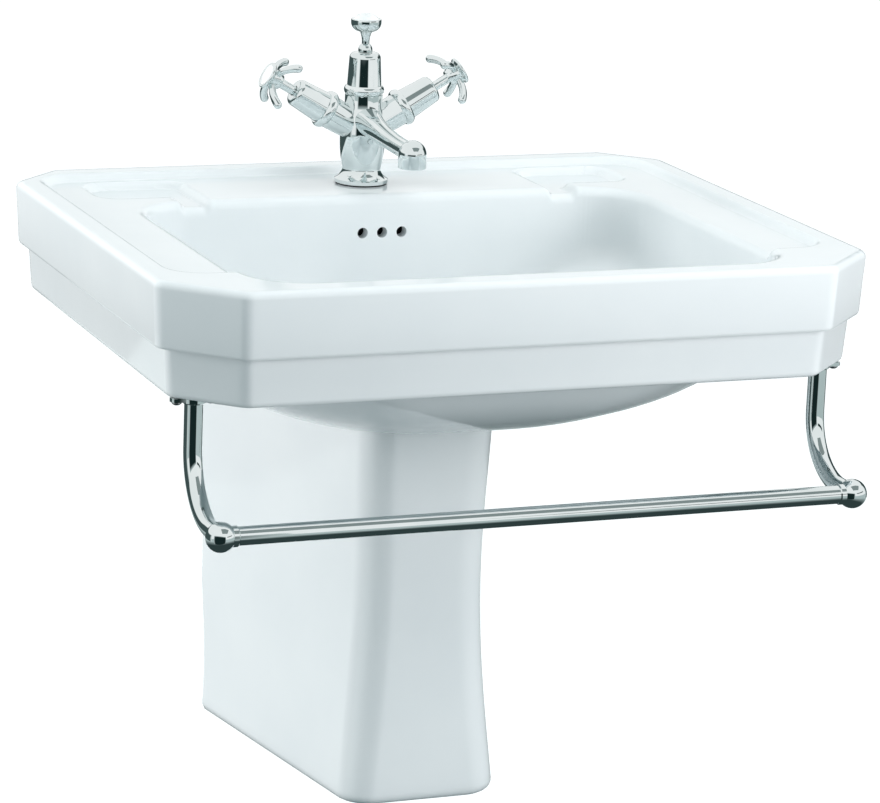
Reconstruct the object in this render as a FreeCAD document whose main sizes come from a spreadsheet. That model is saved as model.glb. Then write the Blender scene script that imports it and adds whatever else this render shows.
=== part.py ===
import FreeCAD, Part
import os
import re

import Sketcher
from FreeCAD import Placement, Rotation, Vector

# Semi-pedestal basin: a ceramic basin bolted to a wall, a half pedestal that hides its trap, a three-piece
# mixer tap with a lift-rod waste, and a towel rail under the front corners.
# The origin is on the wall, midway between the two wall bolts. X runs to the right, Y into the wall, Z up.

doc = FreeCAD.newDocument("semi_pedestal_basin")

SIZES = {
    # How far a cutter runs past what it cuts, or a joined form into its neighbour.
    "overlap": 1,
    # Basin: an eight-sided rim of two stepped bands, all corners cut at 45 degrees.
    "basin_width": 610,
    "basin_depth": 510,
    "front_chamfer": 56,
    "back_chamfer": 45,
    "upper_band": 54,
    "lower_band": 40.5,
    "band_step": 8,
    "band_draft": 2.5,
    "corner_round": 14,
    "rim_round": 6,
    "bolt_drop": 60,
    "wall_bolt_spacing": 280,
    "wall_bolt_radius": 11,
    "ceramic_wall": 13,
    "back_wall": 15,
    "deck_plate": 20,
    # Deck: sunk inside a raised border, with a soap tray each side of the tap.
    "side_border": 24,
    "back_border": 28,
    "deck_drop": 6,
    "recess_front": 430,
    "recess_round": 30,
    "tray_inner": 162,
    "tray_outer": 240,
    "tray_back": 45,
    "tray_front": 103,
    "tray_drop": 12,
    "tray_slope": 40,
    "tray_round": 14,
    "notch_width": 16,
    # Bowl: near-vertical walls over an elliptical toe.
    "mouth_width": 452,
    "mouth_back": 134,
    "mouth_front": 478,
    "mouth_round": 50,
    "bowl_round": 120,
    "sump_share": 0.45,
    "bowl_depth": 155,
    "bowl_wall": 52,
    "side_reach": 200,
    "back_reach": 58,
    "front_reach": 230,
    "bowl_base": 17,
    "belly_wall": 50,
    "overflow_drop": 39,
    "overflow_pitch": 18,
    "overflow_radius": 4.7,
    "duct_width": 70,
    "duct_back": 106,
    "duct_wall": 7,
    "duct_gap": 10,
    # Half pedestal, lofted through four levels below its top edge.
    "pedestal_height": 339,
    "pedestal_wall": 11,
    "pedestal_rise": 50,
    "back_half_top": 116,
    "back_half_bottom": 111.5,
    "waist_level": 128,
    "shin_level": 248,
    "front_half_top": 57,
    "front_half_waist": 53,
    "front_half_shin": 59,
    "front_half_bottom": 69,
    "trap_clearance": 12,
    "waist_hollow": 4,
    "foot_flare": 7,
    "pedestal_corner": 25,
    "toe_round": 10,
    "foot_flange": 22,
    "lug_spacing": 164,
    "lug_width": 34,
    "lug_height": 48,
    "lug_thickness": 12,
    "lug_level": 150,
    "lug_hole": 6,
    # Tap body, measured up from the deck.
    "tap_from_wall": 77,
    "tap_hole": 17.5,
    "shank_radius": 16.6,
    "shank_length": 58,
    "rod_radius": 2.5,
    "rod_bore": 3.25,
    "gasket_thickness": 1.5,
    "gasket_inset": 1,
    "foot_radius": 23.5,
    "foot_edge": 3,
    "foot_curve": 11,
    "neck_radius": 17,
    "neck_height": 14,
    "belly_curve": 121,
    "head_radius": 16.5,
    "head_start": 68,
    "head_height": 79,
    "inlet_radius": 4.4,
    "inlet_offset": 9.6,
    "inlet_length": 114,
    "thread_radius": 4.9,
    "thread_depth": 15,
    "arm_height": 46,
    "arm_tilt": 30,
    "arm_root_radius": 12.5,
    "arm_radius": 14.5,
    "arm_length": 37,
    "washer_thickness": 3,
    "plate_thickness": 2,
    "nut_height": 10,
    "nut_corner": 24,
    # Spout, measured forward from the tap's axis.
    "spout_reach": 123,
    "spout_root_height": 58,
    "spout_mid_height": 51,
    "spout_end_height": 48.5,
    "spout_root_radius": 13,
    "spout_mid_radius": 8.6,
    "spout_end_radius": 8.8,
    "spout_mid": 62,
    "spigot_start": 9,
    "spigot_radius": 8.5,
    "grub_height": 40,
    "grub_start": 13,
    "grub_length": 8.5,
    "grub_radius": 2.2,
    "waterway_radius": 5.5,
    "nozzle_radius": 12,
    "nozzle_bottom": 36,
    "nozzle_straight": 12,
    "nozzle_bore": 9.6,
    "nozzle_throat": 7,
    "aerator_height": 8,
    "aerator_bore": 6.5,
    "mesh_thickness": 1,
    "mesh_hole": 1.2,
    "mesh_pitch": 4,
    # Valves, measured out along each tilted arm.
    "running_gap": 0.1,
    "seal_start": 14.5,
    "cartridge_start": 16,
    "cartridge_radius": 9.9,
    "chamber_radius": 8.1,
    "disc_thickness": 4,
    "disc_port": 2.5,
    "chamber_end": 28,
    "hex_radius": 11.4,
    "hex_height": 6,
    "valve_neck_radius": 7.4,
    "valve_end": 70,
    "spindle_radius": 4.25,
    "spindle_flange": 3,
    "ring_level": 60,
    "ring_groove": 0.95,
    "collar_length": 8,
    "collar_radius": 15,
    "collar_bulge": 5.2,
    "shroud_radius": 13.8,
    "shroud_tip_radius": 12.2,
    "shroud_length": 30,
    "shroud_wall": 1.5,
    "shroud_round": 4,
    # Crosshead handles.
    "hub_start": 90,
    "hub_foot_radius": 6.5,
    "hub_radius": 8.5,
    "hub_level": 97,
    "spindle_end": 99,
    "hub_web": 2,
    "cap_radius": 11.5,
    "cap_start": 102,
    "cap_edge": 2.5,
    "index_radius": 9.3,
    "index_rise": 1.4,
    "lever_start": 7,
    "lever_bend": 24,
    "lever_sweep": 50,
    "lever_radius": 2.8,
    "lever_tip_radius": 3.6,
    "lever_clock": 45,
    "screw_radius": 2,
    "screw_head_radius": 4,
    "screw_head_height": 2,
    "screw_length": 9,
    # Centre column and its lift knob.
    "crown_radius": 15.6,
    "crown_height": 8,
    "crown_bulge": 5,
    "bonnet_radius": 15,
    "bonnet_top_radius": 13.7,
    "bonnet_height": 29,
    "bonnet_wall": 2,
    "bonnet_round": 5,
    "knob_gap": 0.3,
    "knob_foot_radius": 6.3,
    "knob_foot_height": 2,
    "knob_neck_radius": 3.7,
    "knob_neck_level": 12,
    "knob_cup_radius": 13,
    "knob_cup_level": 18,
    "knob_cup_height": 11,
    "knob_lip": 1.4,
    "knob_edge": 1,
    "knob_floor": 3,
    "insert_depth": 2,
    "insert_rise": 5,
    "lift_stroke": 34,
    # Pop-up waste, measured down from the bowl's floor.
    "waste_from_wall": 220,
    "waste_hole": 23,
    "waste_seat_radius": 33.5,
    "waste_seat_depth": 5,
    "waste_flange_radius": 32,
    "waste_flange": 3,
    "waste_mouth": 20.5,
    "waste_radius": 20.95,
    "waste_bore": 17.5,
    "waste_length": 125,
    "tail_length": 35,
    "relief_width": 3,
    "relief_depth": 0.8,
    "waste_washer": 5,
    "waste_washer_radius": 31,
    "waste_nut_height": 12,
    "waste_nut_corner": 33,
    "slot_top": 10,
    "slot_height": 12,
    "slot_width": 12,
    "port_drop": 72,
    "port_radius": 11,
    "port_bore": 8,
    "port_reach": 34.5,
    "port_floor": 21.1,
    "ball_reach": 30,
    "ball_radius": 6.5,
    "ball_nut_radius": 14.5,
    "ball_nut_length": 13,
    "ball_nut_wall": 3.5,
    "ball_nut_hole": 5.4,
    "seat_ring_length": 3.9,
    "seat_ring_bore": 4.6,
    "pivot_tail": 14,
    "plug_radius": 21.5,
    "plug_thickness": 2.5,
    "plug_crown": 2.5,
    "plug_lift": 1,
    "plug_boss_radius": 14,
    "plug_boss": 5,
    "plug_stem_radius": 3.5,
    "plug_ring": 3.2,
    "eye_width": 12,
    "eye_depth": 8,
    "eye_height": 14,
    "eye_hole": 3.6,
    "strap_width": 14,
    "strap_thickness": 1.5,
    "strap_hole": 4,
    "strap_above": 49,
    "strap_below": 13,
    "clamp_level": 32,
    "clamp_height": 12,
    "clamp_depth": 5,
    "clamp_wall": 1.5,
    "thumb_radius": 5,
    "thumb_length": 6,
    "rod_clear": 24,
    # Towel rail.
    "rail_inset": 35.5,
    "rail_radius": 7.5,
    "rail_drop": 187,
    "rail_from_wall": 521,
    "rail_ball": 12,
    "rail_collar_radius": 9.5,
    "rail_collar_reach": 15,
    "rail_socket": 8,
    "rail_wall": 1.2,
    "post_from_wall": 447,
    "post_bend": 52,
    "post_radius": 7.5,
    "flange_radius": 9.5,
    "flange_height": 5,
    "foot_plate": 3,
    "foot_end": 5.5,
    "screw_spread": 14,
    "wood_screw_length": 24,
    "wood_screw_radius": 2,
    "pan_radius": 4,
    "pan_height": 3,
    "pad_size": 140,
}

sheet = doc.addObject("Spreadsheet::Sheet", "dims")
for row, (alias, number) in enumerate(SIZES.items(), start=1):
    sheet.set(f"A{row}", alias.replace("_", " "))
    sheet.set(f"B{row}", str(number))
    sheet.setAlias(f"B{row}", alias)
doc.recompute()


def tied(text):
    """The expression with every size named in it read from the sheet."""
    return re.sub(r"[a-z_]+", lambda word: "dims." + word[0] if word[0] in SIZES else word[0], str(text))


def size(text):
    """The number that an expression in the sheet's sizes comes to."""
    return float(sheet.evalExpression(tied(text)))


def bind(thing, name, text):
    """Sets a property of an object to an expression in the sheet's sizes."""
    thing.setExpression(name, tied(text))


def put(thing, x="0", y="0", z="0", turn=None):
    """Places an object: a bound position and, where it is tilted, a turn."""
    thing.Placement = Placement(Vector(size(x), size(y), size(z)), turn or Rotation())
    for name, text in (("x", x), ("y", y), ("z", z)):
        bind(thing, f"Placement.Base.{name}", text)
    return thing


def outline(sketch, points, closed=True):
    """Lines and arcs through bound points. A point is (x, y), or (x, y, radius, way) where an arc leaves it:
    way is 1 for an arc that turns left and -1 for one that turns right."""
    places = [Vector(size(point[0]), size(point[1]), 0) for point in points]
    count = len(points) if closed else len(points) - 1
    ends = []
    for index in range(count):
        here = places[index]
        there = places[(index + 1) % len(points)]
        if len(points[index]) == 2:
            sketch.addGeometry(Part.LineSegment(here, there), False)
            ends.append((1, 2))
            continue
        radius = size(points[index][2])
        way = points[index][3]
        chord = there - here
        across = Vector(-chord.y, chord.x, 0).normalize()
        centre = (here + there) * 0.5 + across * (way * max(0.0, radius**2 - (chord.Length / 2) ** 2) ** 0.5)
        first, last = (here, there) if way > 0 else (there, here)
        arc = Part.Circle(centre, Vector(0, 0, 1), radius)
        sketch.addGeometry(Part.ArcOfCircle(arc, arc.parameter(first), arc.parameter(last)), False)
        ends.append((1, 2) if way > 0 else (2, 1))
        bound = sketch.addConstraint(Sketcher.Constraint("Radius", index, radius))
        bind(sketch, f"Constraints[{bound}]", points[index][2])
    for index in range(count if closed else count - 1):
        after = (index + 1) % count
        sketch.addConstraint(Sketcher.Constraint("Coincident", index, ends[index][1], after, ends[after][0]))
    for index, point in enumerate(points):
        piece, corner = (index, ends[index][0]) if index < count else (index - 1, ends[index - 1][1])
        for way, text in (("DistanceX", point[0]), ("DistanceY", point[1])):
            bound = sketch.addConstraint(Sketcher.Constraint(way, -1, 1, piece, corner, size(text)))
            bind(sketch, f"Constraints[{bound}]", text)
    return sketch


def origin(body, role):
    """One of a body's own planes or axes."""
    return next(feature for feature in body.Origin.OriginFeatures if feature.Role == role)


def sketch_in(body, role, name, points, lift="0", closed=True):
    """An outline in a body, on one of its planes or a bound distance from it."""
    sketch = body.newObject("Sketcher::SketchObject", name)
    sketch.AttachmentSupport = (origin(body, role), [""])
    sketch.MapMode = "FlatFace"
    sketch.AttachmentOffset = Placement(Vector(0, 0, size(lift)), Rotation())
    bind(sketch, "AttachmentOffset.Base.z", lift)
    return outline(sketch, points, closed)


def circle_in(body, role, name, x, y, radius, lift="0"):
    """A bound circle in a body, on one of its planes or a bound distance from it."""
    sketch = sketch_in(body, role, name, [], lift)
    sketch.addGeometry(Part.Circle(Vector(size(x), size(y), 0), Vector(0, 0, 1), size(radius)), False)
    for kind, text in (("DistanceX", x), ("DistanceY", y)):
        bound = sketch.addConstraint(Sketcher.Constraint(kind, -1, 1, 0, 3, size(text)))
        bind(sketch, f"Constraints[{bound}]", text)
    bound = sketch.addConstraint(Sketcher.Constraint("Radius", 0, size(radius)))
    bind(sketch, f"Constraints[{bound}]", radius)
    return sketch


def new_body(label):
    """An empty body."""
    body = doc.addObject("PartDesign::Body", label)
    body.Label = label
    return body


def turned(label, points):
    """A body turned on a lathe: an outline of (radius, height) points about its Z axis."""
    body = new_body(label)
    sketch = sketch_in(body, "XZ_Plane", label + "_outline", points)
    turning = body.newObject("PartDesign::Revolution", label + "_turning")
    turning.Profile = sketch
    turning.ReferenceAxis = (sketch, ["V_Axis"])
    turning.Angle = 360
    return body


def ring(label, inner, outer, low, high):
    """A plain turned ring."""
    return turned(label, [(inner, low), (outer, low), (outer, high), (inner, high)])


def padded(label, points, low, high):
    """A body with one flat outline, padded from one height to another."""
    body = new_body(label)
    sketch = sketch_in(body, "XY_Plane", label + "_outline", points, low)
    pad = body.newObject("PartDesign::Pad", label + "_pad")
    pad.Profile = sketch
    bind(pad, "Length", f"({high}) - ({low})")
    return body


def lofted(label, sections, ruled=False):
    """A body lofted through outlines at bound heights: sections are (points, height)."""
    body = new_body(label)
    sketches = []
    for number, (points, height) in enumerate(sections):
        sketches.append(sketch_in(body, "XY_Plane", f"{label}_level_{number}", points, height))
    loft = body.newObject("PartDesign::AdditiveLoft", label + "_loft")
    loft.Profile = sketches[0]
    loft.Sections = sketches[1:]
    loft.Ruled = ruled
    return body


def rounded(body, name, radius, wanted):
    """Rounds the edges of a body's last feature that a test picks out."""
    doc.recompute()
    base = body.Tip
    picked = [f"Edge{number}" for number, edge in enumerate(base.Shape.Edges, 1) if wanted(edge)]
    fillet = body.newObject("PartDesign::Fillet", name)
    fillet.Base = (base, picked)
    bind(fillet, "Radius", radius)
    body.Tip = fillet
    return body


def rod(label, radius, length, turn=None, x="0", y="0", z="0"):
    """A plain round bar from a point, along +Z or turned."""
    bar = doc.addObject("Part::Cylinder", label)
    bar.Label = label
    bind(bar, "Radius", radius)
    bind(bar, "Height", length)
    return put(bar, x, y, z, turn)


def block(label, low, high):
    """A plain box between two bound corners."""
    box = doc.addObject("Part::Box", label)
    box.Label = label
    for name, start, end in zip(("Length", "Width", "Height"), low, high):
        bind(box, name, f"({end}) - ({start})")
    return put(box, *low)


def join(label, *pieces):
    """Pieces fused into one solid."""
    fuse = doc.addObject("Part::MultiFuse", label)
    fuse.Label = label
    fuse.Shapes = list(pieces)
    fuse.Refine = True
    return fuse


def cut(label, base, *tools):
    """A solid with others cut out of it."""
    carved = doc.addObject("Part::Cut", label)
    carved.Label = label
    carved.Base = base
    carved.Tool = tools[0] if len(tools) == 1 else join(label + "_tools", *tools)
    carved.Refine = True
    return carved


def hexagon(corner):
    """Corners of a six-sided nut."""
    return [(f"({corner}) * cos({60 * side})", f"({corner}) * sin({60 * side})") for side in range(6)]


def four_round(body, feature):
    """Repeats a body's last feature four times about its Z axis."""
    pattern = body.newObject("PartDesign::PolarPattern", feature.Name + "_pattern")
    pattern.Originals = [feature]
    pattern.Axis = (origin(body, "Z_Axis"), [""])
    pattern.Angle = 360
    pattern.Occurrences = 4
    body.Tip = pattern


def dome(radius, rise):
    """The radius of a round cap that stands this high over a circle."""
    return f"(({radius}) * ({radius}) + ({rise}) * ({rise})) / (2 * ({rise}))"


UP_TO_FRONT = Rotation(Vector(1, 0, 0), 90)
UP_TO_BACK = Rotation(Vector(1, 0, 0), -90)
SIDES = {"hot": -1, "cold": 1}
HANDS = {"left": -1, "right": 1}
RIM = "bolt_drop"
UNDERSIDE = f"{RIM} - upper_band - lower_band"
DECK = f"{RIM} - deck_drop"
FLOOR = f"{RIM} - bowl_depth"
BELLY_DEPTH = "bowl_depth + bowl_base"
BELLY = f"{RIM} - ({BELLY_DEPTH})"
RAIL_HALF = "(basin_width / 2 - rail_inset)"
finished = []


# Basin rim: two stepped bands, each drawn in a little towards its foot, flat against the wall behind.
def octagon(inset, back):
    """The rim's plan, drawn in by an inset on every side but the back."""
    half = f"basin_width / 2 - ({inset})"
    back_x = f"basin_width / 2 - back_chamfer - sqrt(2) * ({inset}) + ({back})"
    back_y = f"-back_chamfer - (sqrt(2) - 1) * ({inset})"
    front_x = f"basin_width / 2 - front_chamfer - (sqrt(2) - 1) * ({inset})"
    front_y = f"-(basin_depth - front_chamfer - (sqrt(2) - 1) * ({inset}))"
    front = f"-(basin_depth - ({inset}))"
    right = [(back_x, f"-({back})"), (half, back_y), (half, front_y), (front_x, front)]
    return [(f"-({x})", y) for x, y in right] + right[::-1]


rim = lofted(
    "rim",
    [(octagon("0", "-overlap"), RIM), (octagon("band_draft", "-overlap"), f"{RIM} - upper_band")],
    ruled=True,
)
lower = lofted(
    "lower_rim",
    [
        (octagon("band_draft + band_step", "-overlap"), f"{RIM} - upper_band + overlap"),
        (octagon("2 * band_draft + band_step", "-overlap"), UNDERSIDE),
    ],
    ruled=True,
)
wall_side = block("wall_side", ("-basin_width", "0", f"{UNDERSIDE} - overlap"),
                  ("basin_width", "2 * overlap", f"{RIM} + overlap"))


def upright(edge):
    """True for a corner of a band that stands clear of the wall."""
    start, end = edge.Vertexes[0].Point, edge.Vertexes[-1].Point
    return abs(end.z - start.z) > 0.9 * edge.Length and max(start.y, end.y) < -1


def top_edge(edge):
    """True for the rim's top edge, apart from its back."""
    box = edge.BoundBox
    return box.ZMin > size(RIM) - 0.01 and box.YMin < -0.5


rounded(rim, "rim_corners", "corner_round", upright)
rounded(rim, "rim_edge", "rim_round", top_edge)
rounded(lower, "lower_rim_corners", "corner_round", upright)


# Bowl: stations down the wall and round the elliptical toe, inside and outside.
def basin_plan(half, back, front, radius):
    """A rectangle with round corners, from a half width and its distances from the wall."""
    near, far = f"-({back})", f"-({front})"
    side, corner = f"({half})", f"({radius})"
    return [
        (f"-{side} + {corner}", far),
        (f"{side} - {corner}", far, radius, 1),
        (side, f"{far} + {corner}"),
        (side, f"{near} - {corner}", radius, 1),
        (f"{side} - {corner}", near),
        (f"-{side} + {corner}", near, radius, 1),
        (f"-{side}", f"{near} - {corner}"),
        (f"-{side}", f"{far} + {corner}", radius, 1),
    ]


def bowl_form(label, top, straight, depth, grow):
    """The bowl's inside, or its outside where it grows by the wall."""
    stations = [("0", "mouth_round", top), ("0", "mouth_round", f"{RIM} - ({straight})")]
    for angle in (20, 40, 60, 75, 90):
        draw = f"(1 - cos({angle}))"
        span = f"(mouth_front - mouth_back - (front_reach + back_reach) * {draw})"
        height = f"{RIM} - ({straight}) - (({depth}) - ({straight})) * sin({angle})"
        stations.append((draw, f"min(bowl_round, sump_share * {span})", height))
    levels = []
    for draw, corner, height in stations:
        half = f"mouth_width / 2 + {grow} - side_reach * {draw}"
        back = f"mouth_back - {grow} + back_reach * {draw}"
        front = f"mouth_front + {grow} - front_reach * {draw}"
        levels.append((basin_plan(half, back, front, f"{corner} + {grow}"), height))
    return lofted(label, levels)


bowl_inside = bowl_form("bowl_inside", f"{RIM} + overlap", "bowl_wall", "bowl_depth", "0")
DECK_MIDDLE = f"{DECK} - deck_plate / 2"
bowl_outside = bowl_form("bowl_outside", DECK_MIDDLE, "belly_wall", BELLY_DEPTH, "ceramic_wall")

# Hollow under the deck, open below, with a solid pad left over each rail post.
hollow = padded("hollow", octagon("2 * band_draft + band_step + ceramic_wall", "back_wall"),
                f"{UNDERSIDE} - overlap", f"{DECK} - deck_plate")
pads = []
for hand, way in HANDS.items():
    centre = f"{way} * {RAIL_HALF}"
    low = (f"{centre} - pad_size / 2", "-post_from_wall - pad_size / 2", f"{UNDERSIDE} - 2 * overlap")
    high = (f"{centre} + pad_size / 2", "-post_from_wall + pad_size / 2", RIM)
    pads.append(block(f"{hand}_pad", low, high))
duct = block("duct", ("-duct_width / 2", "-mouth_back - back_reach", f"{BELLY} + overlap"),
             ("duct_width / 2", "-duct_back", DECK_MIDDLE))
slot_ceiling = f"{FLOOR} - slot_top"
slot_floor = f"{slot_ceiling} - slot_height"
duct_half = "duct_width / 2 - duct_wall"
duct_ceiling = f"{RIM} - overflow_drop + 2 * overflow_radius"
duct_bore = block("duct_bore", (f"-({duct_half})", "-duct_back - duct_wall - duct_gap", slot_floor),
                  (duct_half, "-duct_back - duct_wall", duct_ceiling))
duct_foot = block("duct_foot", ("-slot_width", "-waste_from_wall", slot_floor),
                  ("slot_width", "-duct_back - duct_wall", slot_ceiling))
rim_shell = cut("rim_shell", join("bands", rim, lower), cut("under_hollow", hollow, *pads))
basin_solid = join("basin_solid", rim_shell, bowl_outside, duct)

# Sunk deck, soap trays that each drain to the bowl through a notch, and holes.
recess_plan = basin_plan("basin_width / 2 - side_border", "back_border", "recess_front", "recess_round")
recess = padded("recess", recess_plan, DECK, f"{RIM} + overlap")
trays = []
for hand, way in HANDS.items():
    inner, outer = sorted((f"{way} * tray_inner", f"{way} * tray_outer"), key=size)
    plan = [
        (f"{inner} + tray_round", "-tray_front"),
        (f"{outer} - tray_round", "-tray_front", "tray_round", 1),
        (outer, "-tray_front + tray_round"),
        (outer, "-tray_back - tray_round", "tray_round", 1),
        (f"{outer} - tray_round", "-tray_back"),
        (f"{inner} + tray_round", "-tray_back", "tray_round", 1),
        (inner, "-tray_back - tray_round"),
        (inner, "-tray_front + tray_round", "tray_round", 1),
    ]
    near, far = sorted((f"{way} * tray_inner", f"{way} * (tray_inner + notch_width)"), key=size)
    notch = [
        (near, "-mouth_back - notch_width"),
        (far, "-mouth_back - notch_width"),
        (far, "-tray_front + tray_round"),
        (near, "-tray_front + tray_round"),
    ]
    for name, shape in ((f"{hand}_tray", plan), (f"{hand}_notch", notch)):
        trays.append(padded(name, shape, f"{RIM} - tray_drop", f"{RIM} + overlap"))
        bind(doc.getObject(name + "_pad"), "TaperAngle", "tray_slope")
overflow = [rod(f"overflow_{place}", "overflow_radius", "mouth_back - duct_back",
                UP_TO_FRONT, f"{place} * overflow_pitch", "-duct_back - duct_wall", f"{RIM} - overflow_drop")
            for place in (-1, 0, 1)]
bolt_holes = [rod(f"bolt_hole_{hand}", "wall_bolt_radius", "back_wall + 2 * overlap", UP_TO_FRONT,
                  f"{way} * wall_bolt_spacing / 2", "overlap") for hand, way in HANDS.items()]
tap_hole = rod("tap_hole_cut", "tap_hole", "deck_plate + 2 * overlap", y="-tap_from_wall",
               z=f"{DECK} - deck_plate - overlap")
waste_hole = rod("waste_hole_cut", "waste_hole", "bowl_base + 2 * overlap",
                 y="-waste_from_wall", z=f"{BELLY} - overlap")
waste_seat = rod("waste_seat", "waste_seat_radius", "waste_seat_depth + overlap", y="-waste_from_wall",
                 z=f"{FLOOR} - waste_seat_depth")
rail_holes = [rod(f"rail_hole_{hand}_{place}", "wood_screw_radius + running_gap",
                  "wood_screw_length + 2 * overlap", x=f"{way} * {RAIL_HALF} + {place} * screw_spread",
                  y="-post_from_wall", z=f"{UNDERSIDE} - overlap")
              for hand, way in HANDS.items() for place in (-1, 1)]
basin = cut("basin", basin_solid, bowl_inside, recess, *trays, duct_bore, duct_foot, *overflow, *bolt_holes,
            tap_hole, waste_hole, waste_seat, *rail_holes, wall_side)
finished.append(basin)


# Half pedestal: sides that close in towards a rounded front, with a slight waist. It is open behind, and
# below inside the flange of its foot. Its top is scribed to the bowl's underside.
def pedestal_plan(back_half, front_half, reach, shrink):
    """A level of the pedestal: flat on the wall, tapering sides, round front corners."""
    back, front = f"({back_half} - {shrink})", f"({front_half} - {shrink})"
    depth = f"({reach} - {shrink})"
    lean = f"atan(({back} - {front}) / {depth})"
    corner = f"(pedestal_corner - 0.5 * {shrink})"
    radius = f"{corner} * tan(45 deg + {lean} / 2)"
    side_x, side_y = f"{front} + {corner} * sin({lean})", f"-{depth} + {corner} * cos({lean})"
    return [
        (f"-{back}", "0"),
        (f"-({side_x})", side_y, radius, 1),
        (f"-({front} - {corner})", f"-{depth}"),
        (f"{front} - {corner}", f"-{depth}", radius, 1),
        (side_x, side_y),
        (back, "0"),
    ]


PEDESTAL_FOOT = f"{BELLY} - pedestal_height"
COVER = "waste_from_wall + waste_nut_corner + trap_clearance + pedestal_wall"
PEDESTAL_LEVELS = [
    ("back_half_top", "front_half_top", COVER, "-pedestal_rise"),
    ("back_half_top", "front_half_top", COVER, "0"),
    ("back_half_top", "front_half_waist", f"{COVER} - waist_hollow", "waist_level"),
    ("back_half_bottom", "front_half_shin", COVER, "shin_level"),
    ("back_half_bottom", "front_half_bottom", f"{COVER} + foot_flare", "pedestal_height"),
]


def pedestal_form(label, shrink):
    """The pedestal's outside, or its inside where it shrinks by the wall."""
    levels = [(pedestal_plan(*plan, shrink), f"{BELLY} - ({drop})") for *plan, drop in PEDESTAL_LEVELS]
    return lofted(label, levels)


def toe_edge(edge):
    """True for the pedestal's bottom edge, apart from the one on the wall."""
    box = edge.BoundBox
    return box.ZMax < size(PEDESTAL_FOOT) + 0.01 and box.YMin < -1


pedestal_outside = pedestal_form("pedestal_outside", "0")
rounded(pedestal_outside, "pedestal_toe", "toe_round", toe_edge)
sole = block("sole", ("-back_half_top", "-basin_depth", f"{PEDESTAL_FOOT} - overlap"),
             ("back_half_top", "overlap", f"{PEDESTAL_FOOT} + pedestal_wall"))
pedestal_inside = cut("pedestal_hollow", pedestal_form("pedestal_inside", "pedestal_wall"), sole)
foot_opening = padded("foot_opening", pedestal_plan(*PEDESTAL_LEVELS[-1][:3], "foot_flange"),
                      f"{PEDESTAL_FOOT} - overlap", f"{PEDESTAL_FOOT} + pedestal_wall + overlap")
lugs = []
lug_holes = []
lug_middle = f"{BELLY} - lug_level"
back_slope = "(back_half_top - back_half_bottom) / (shin_level - waist_level)"
lug_wall = f"(back_half_top - {back_slope} * (lug_level - waist_level))"
for hand, way in HANDS.items():
    hole_x = f"{way} * lug_spacing / 2"
    ends = [f"{hole_x} - {way} * lug_width / 2", f"{way} * ({lug_wall} - pedestal_wall / 2)"]
    left, right = sorted(ends, key=size)
    lugs.append(block(f"{hand}_lug", (left, "-lug_thickness", f"{lug_middle} - lug_height / 2"),
                      (right, "0", f"{lug_middle} + lug_height / 2")))
    lug_holes.append(rod(f"{hand}_lug_hole", "lug_hole", "lug_thickness + 2 * overlap", UP_TO_FRONT, hole_x,
                         "overlap", lug_middle))
pedestal_shell = join("pedestal_shell", cut("pedestal_walls", pedestal_outside, pedestal_inside), *lugs)
finished.append(cut("semi_pedestal", pedestal_shell, *lug_holes, bowl_outside, foot_opening))


# Tap body: a turned vase on a flared foot, with a threaded shank and two arms tilted up to the valves.
def on_tap(thing):
    """Places a turned piece on the tap's axis, its heights counted from the deck."""
    return put(thing, y="-tap_from_wall", z=DECK)


def on_arm(side, thing, spin=0):
    """Places a turned piece along one of the tap's arms."""
    tilt = Rotation(Vector(0, SIDES[side], 0), 90 - size("arm_tilt"))
    clocked = tilt * Rotation(Vector(0, 0, 1), spin)
    return put(thing, y="-tap_from_wall", z=f"{DECK} + arm_height", turn=clocked)


vase = on_tap(turned("vase", [
    ("0", "-shank_length"),
    ("shank_radius", "-shank_length"),
    ("shank_radius", "gasket_thickness"),
    ("foot_radius", "gasket_thickness"),
    ("foot_radius", "gasket_thickness + foot_edge", "foot_curve", -1),
    ("neck_radius", "neck_height", "belly_curve", 1),
    ("head_radius", "head_start"),
    ("head_radius", "head_height"),
    ("0", "head_height"),
]))
arms = []
arm_bores = []
for side in SIDES:
    arm = doc.addObject("Part::Cone", f"{side}_arm")
    bind(arm, "Radius1", "arm_root_radius")
    bind(arm, "Radius2", "arm_radius")
    bind(arm, "Height", "arm_length")
    arms.append(on_arm(side, arm))
    bore = ring(f"{side}_arm_bore", "0", "cartridge_radius + running_gap", "seal_start",
                "arm_length + overlap")
    arm_bores.append(on_arm(side, bore))
centre_bore = rod("centre_bore", "rod_bore", "head_height + shank_length + 2 * overlap", y="-tap_from_wall",
                  z=f"{DECK} - shank_length - overlap")
tap_core = cut("tap_core", join("tap_casting", vase, *arms), centre_bore)
inlets = []
for side, way in SIDES.items():
    drill = turned(f"{side}_inlet", [
        ("0", "-overlap"),
        ("thread_radius", "-overlap"),
        ("thread_radius", "thread_depth"),
        ("inlet_radius", "thread_depth"),
        ("inlet_radius", "inlet_length"),
        ("0", "inlet_length"),
    ])
    inlets.append(put(drill, f"{way} * inlet_offset", "-tap_from_wall", f"{DECK} - shank_length"))
spigot_height = f"{DECK} + spout_root_height"
socket = rod("spout_socket", "spigot_radius + running_gap", "foot_radius", UP_TO_FRONT,
             y="-tap_from_wall - spigot_start", z=spigot_height)
grub_place = {"turn": UP_TO_FRONT, "y": "-tap_from_wall - grub_start", "z": f"{DECK} + grub_height"}
grub_hole = rod("grub_hole", "grub_radius + running_gap", "foot_radius", **grub_place)
finished.append(cut("tap_body", tap_core, *arm_bores, *inlets, socket, grub_hole))
finished.append(rod("spout_screw", "grub_radius", "grub_length", **grub_place))


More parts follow.
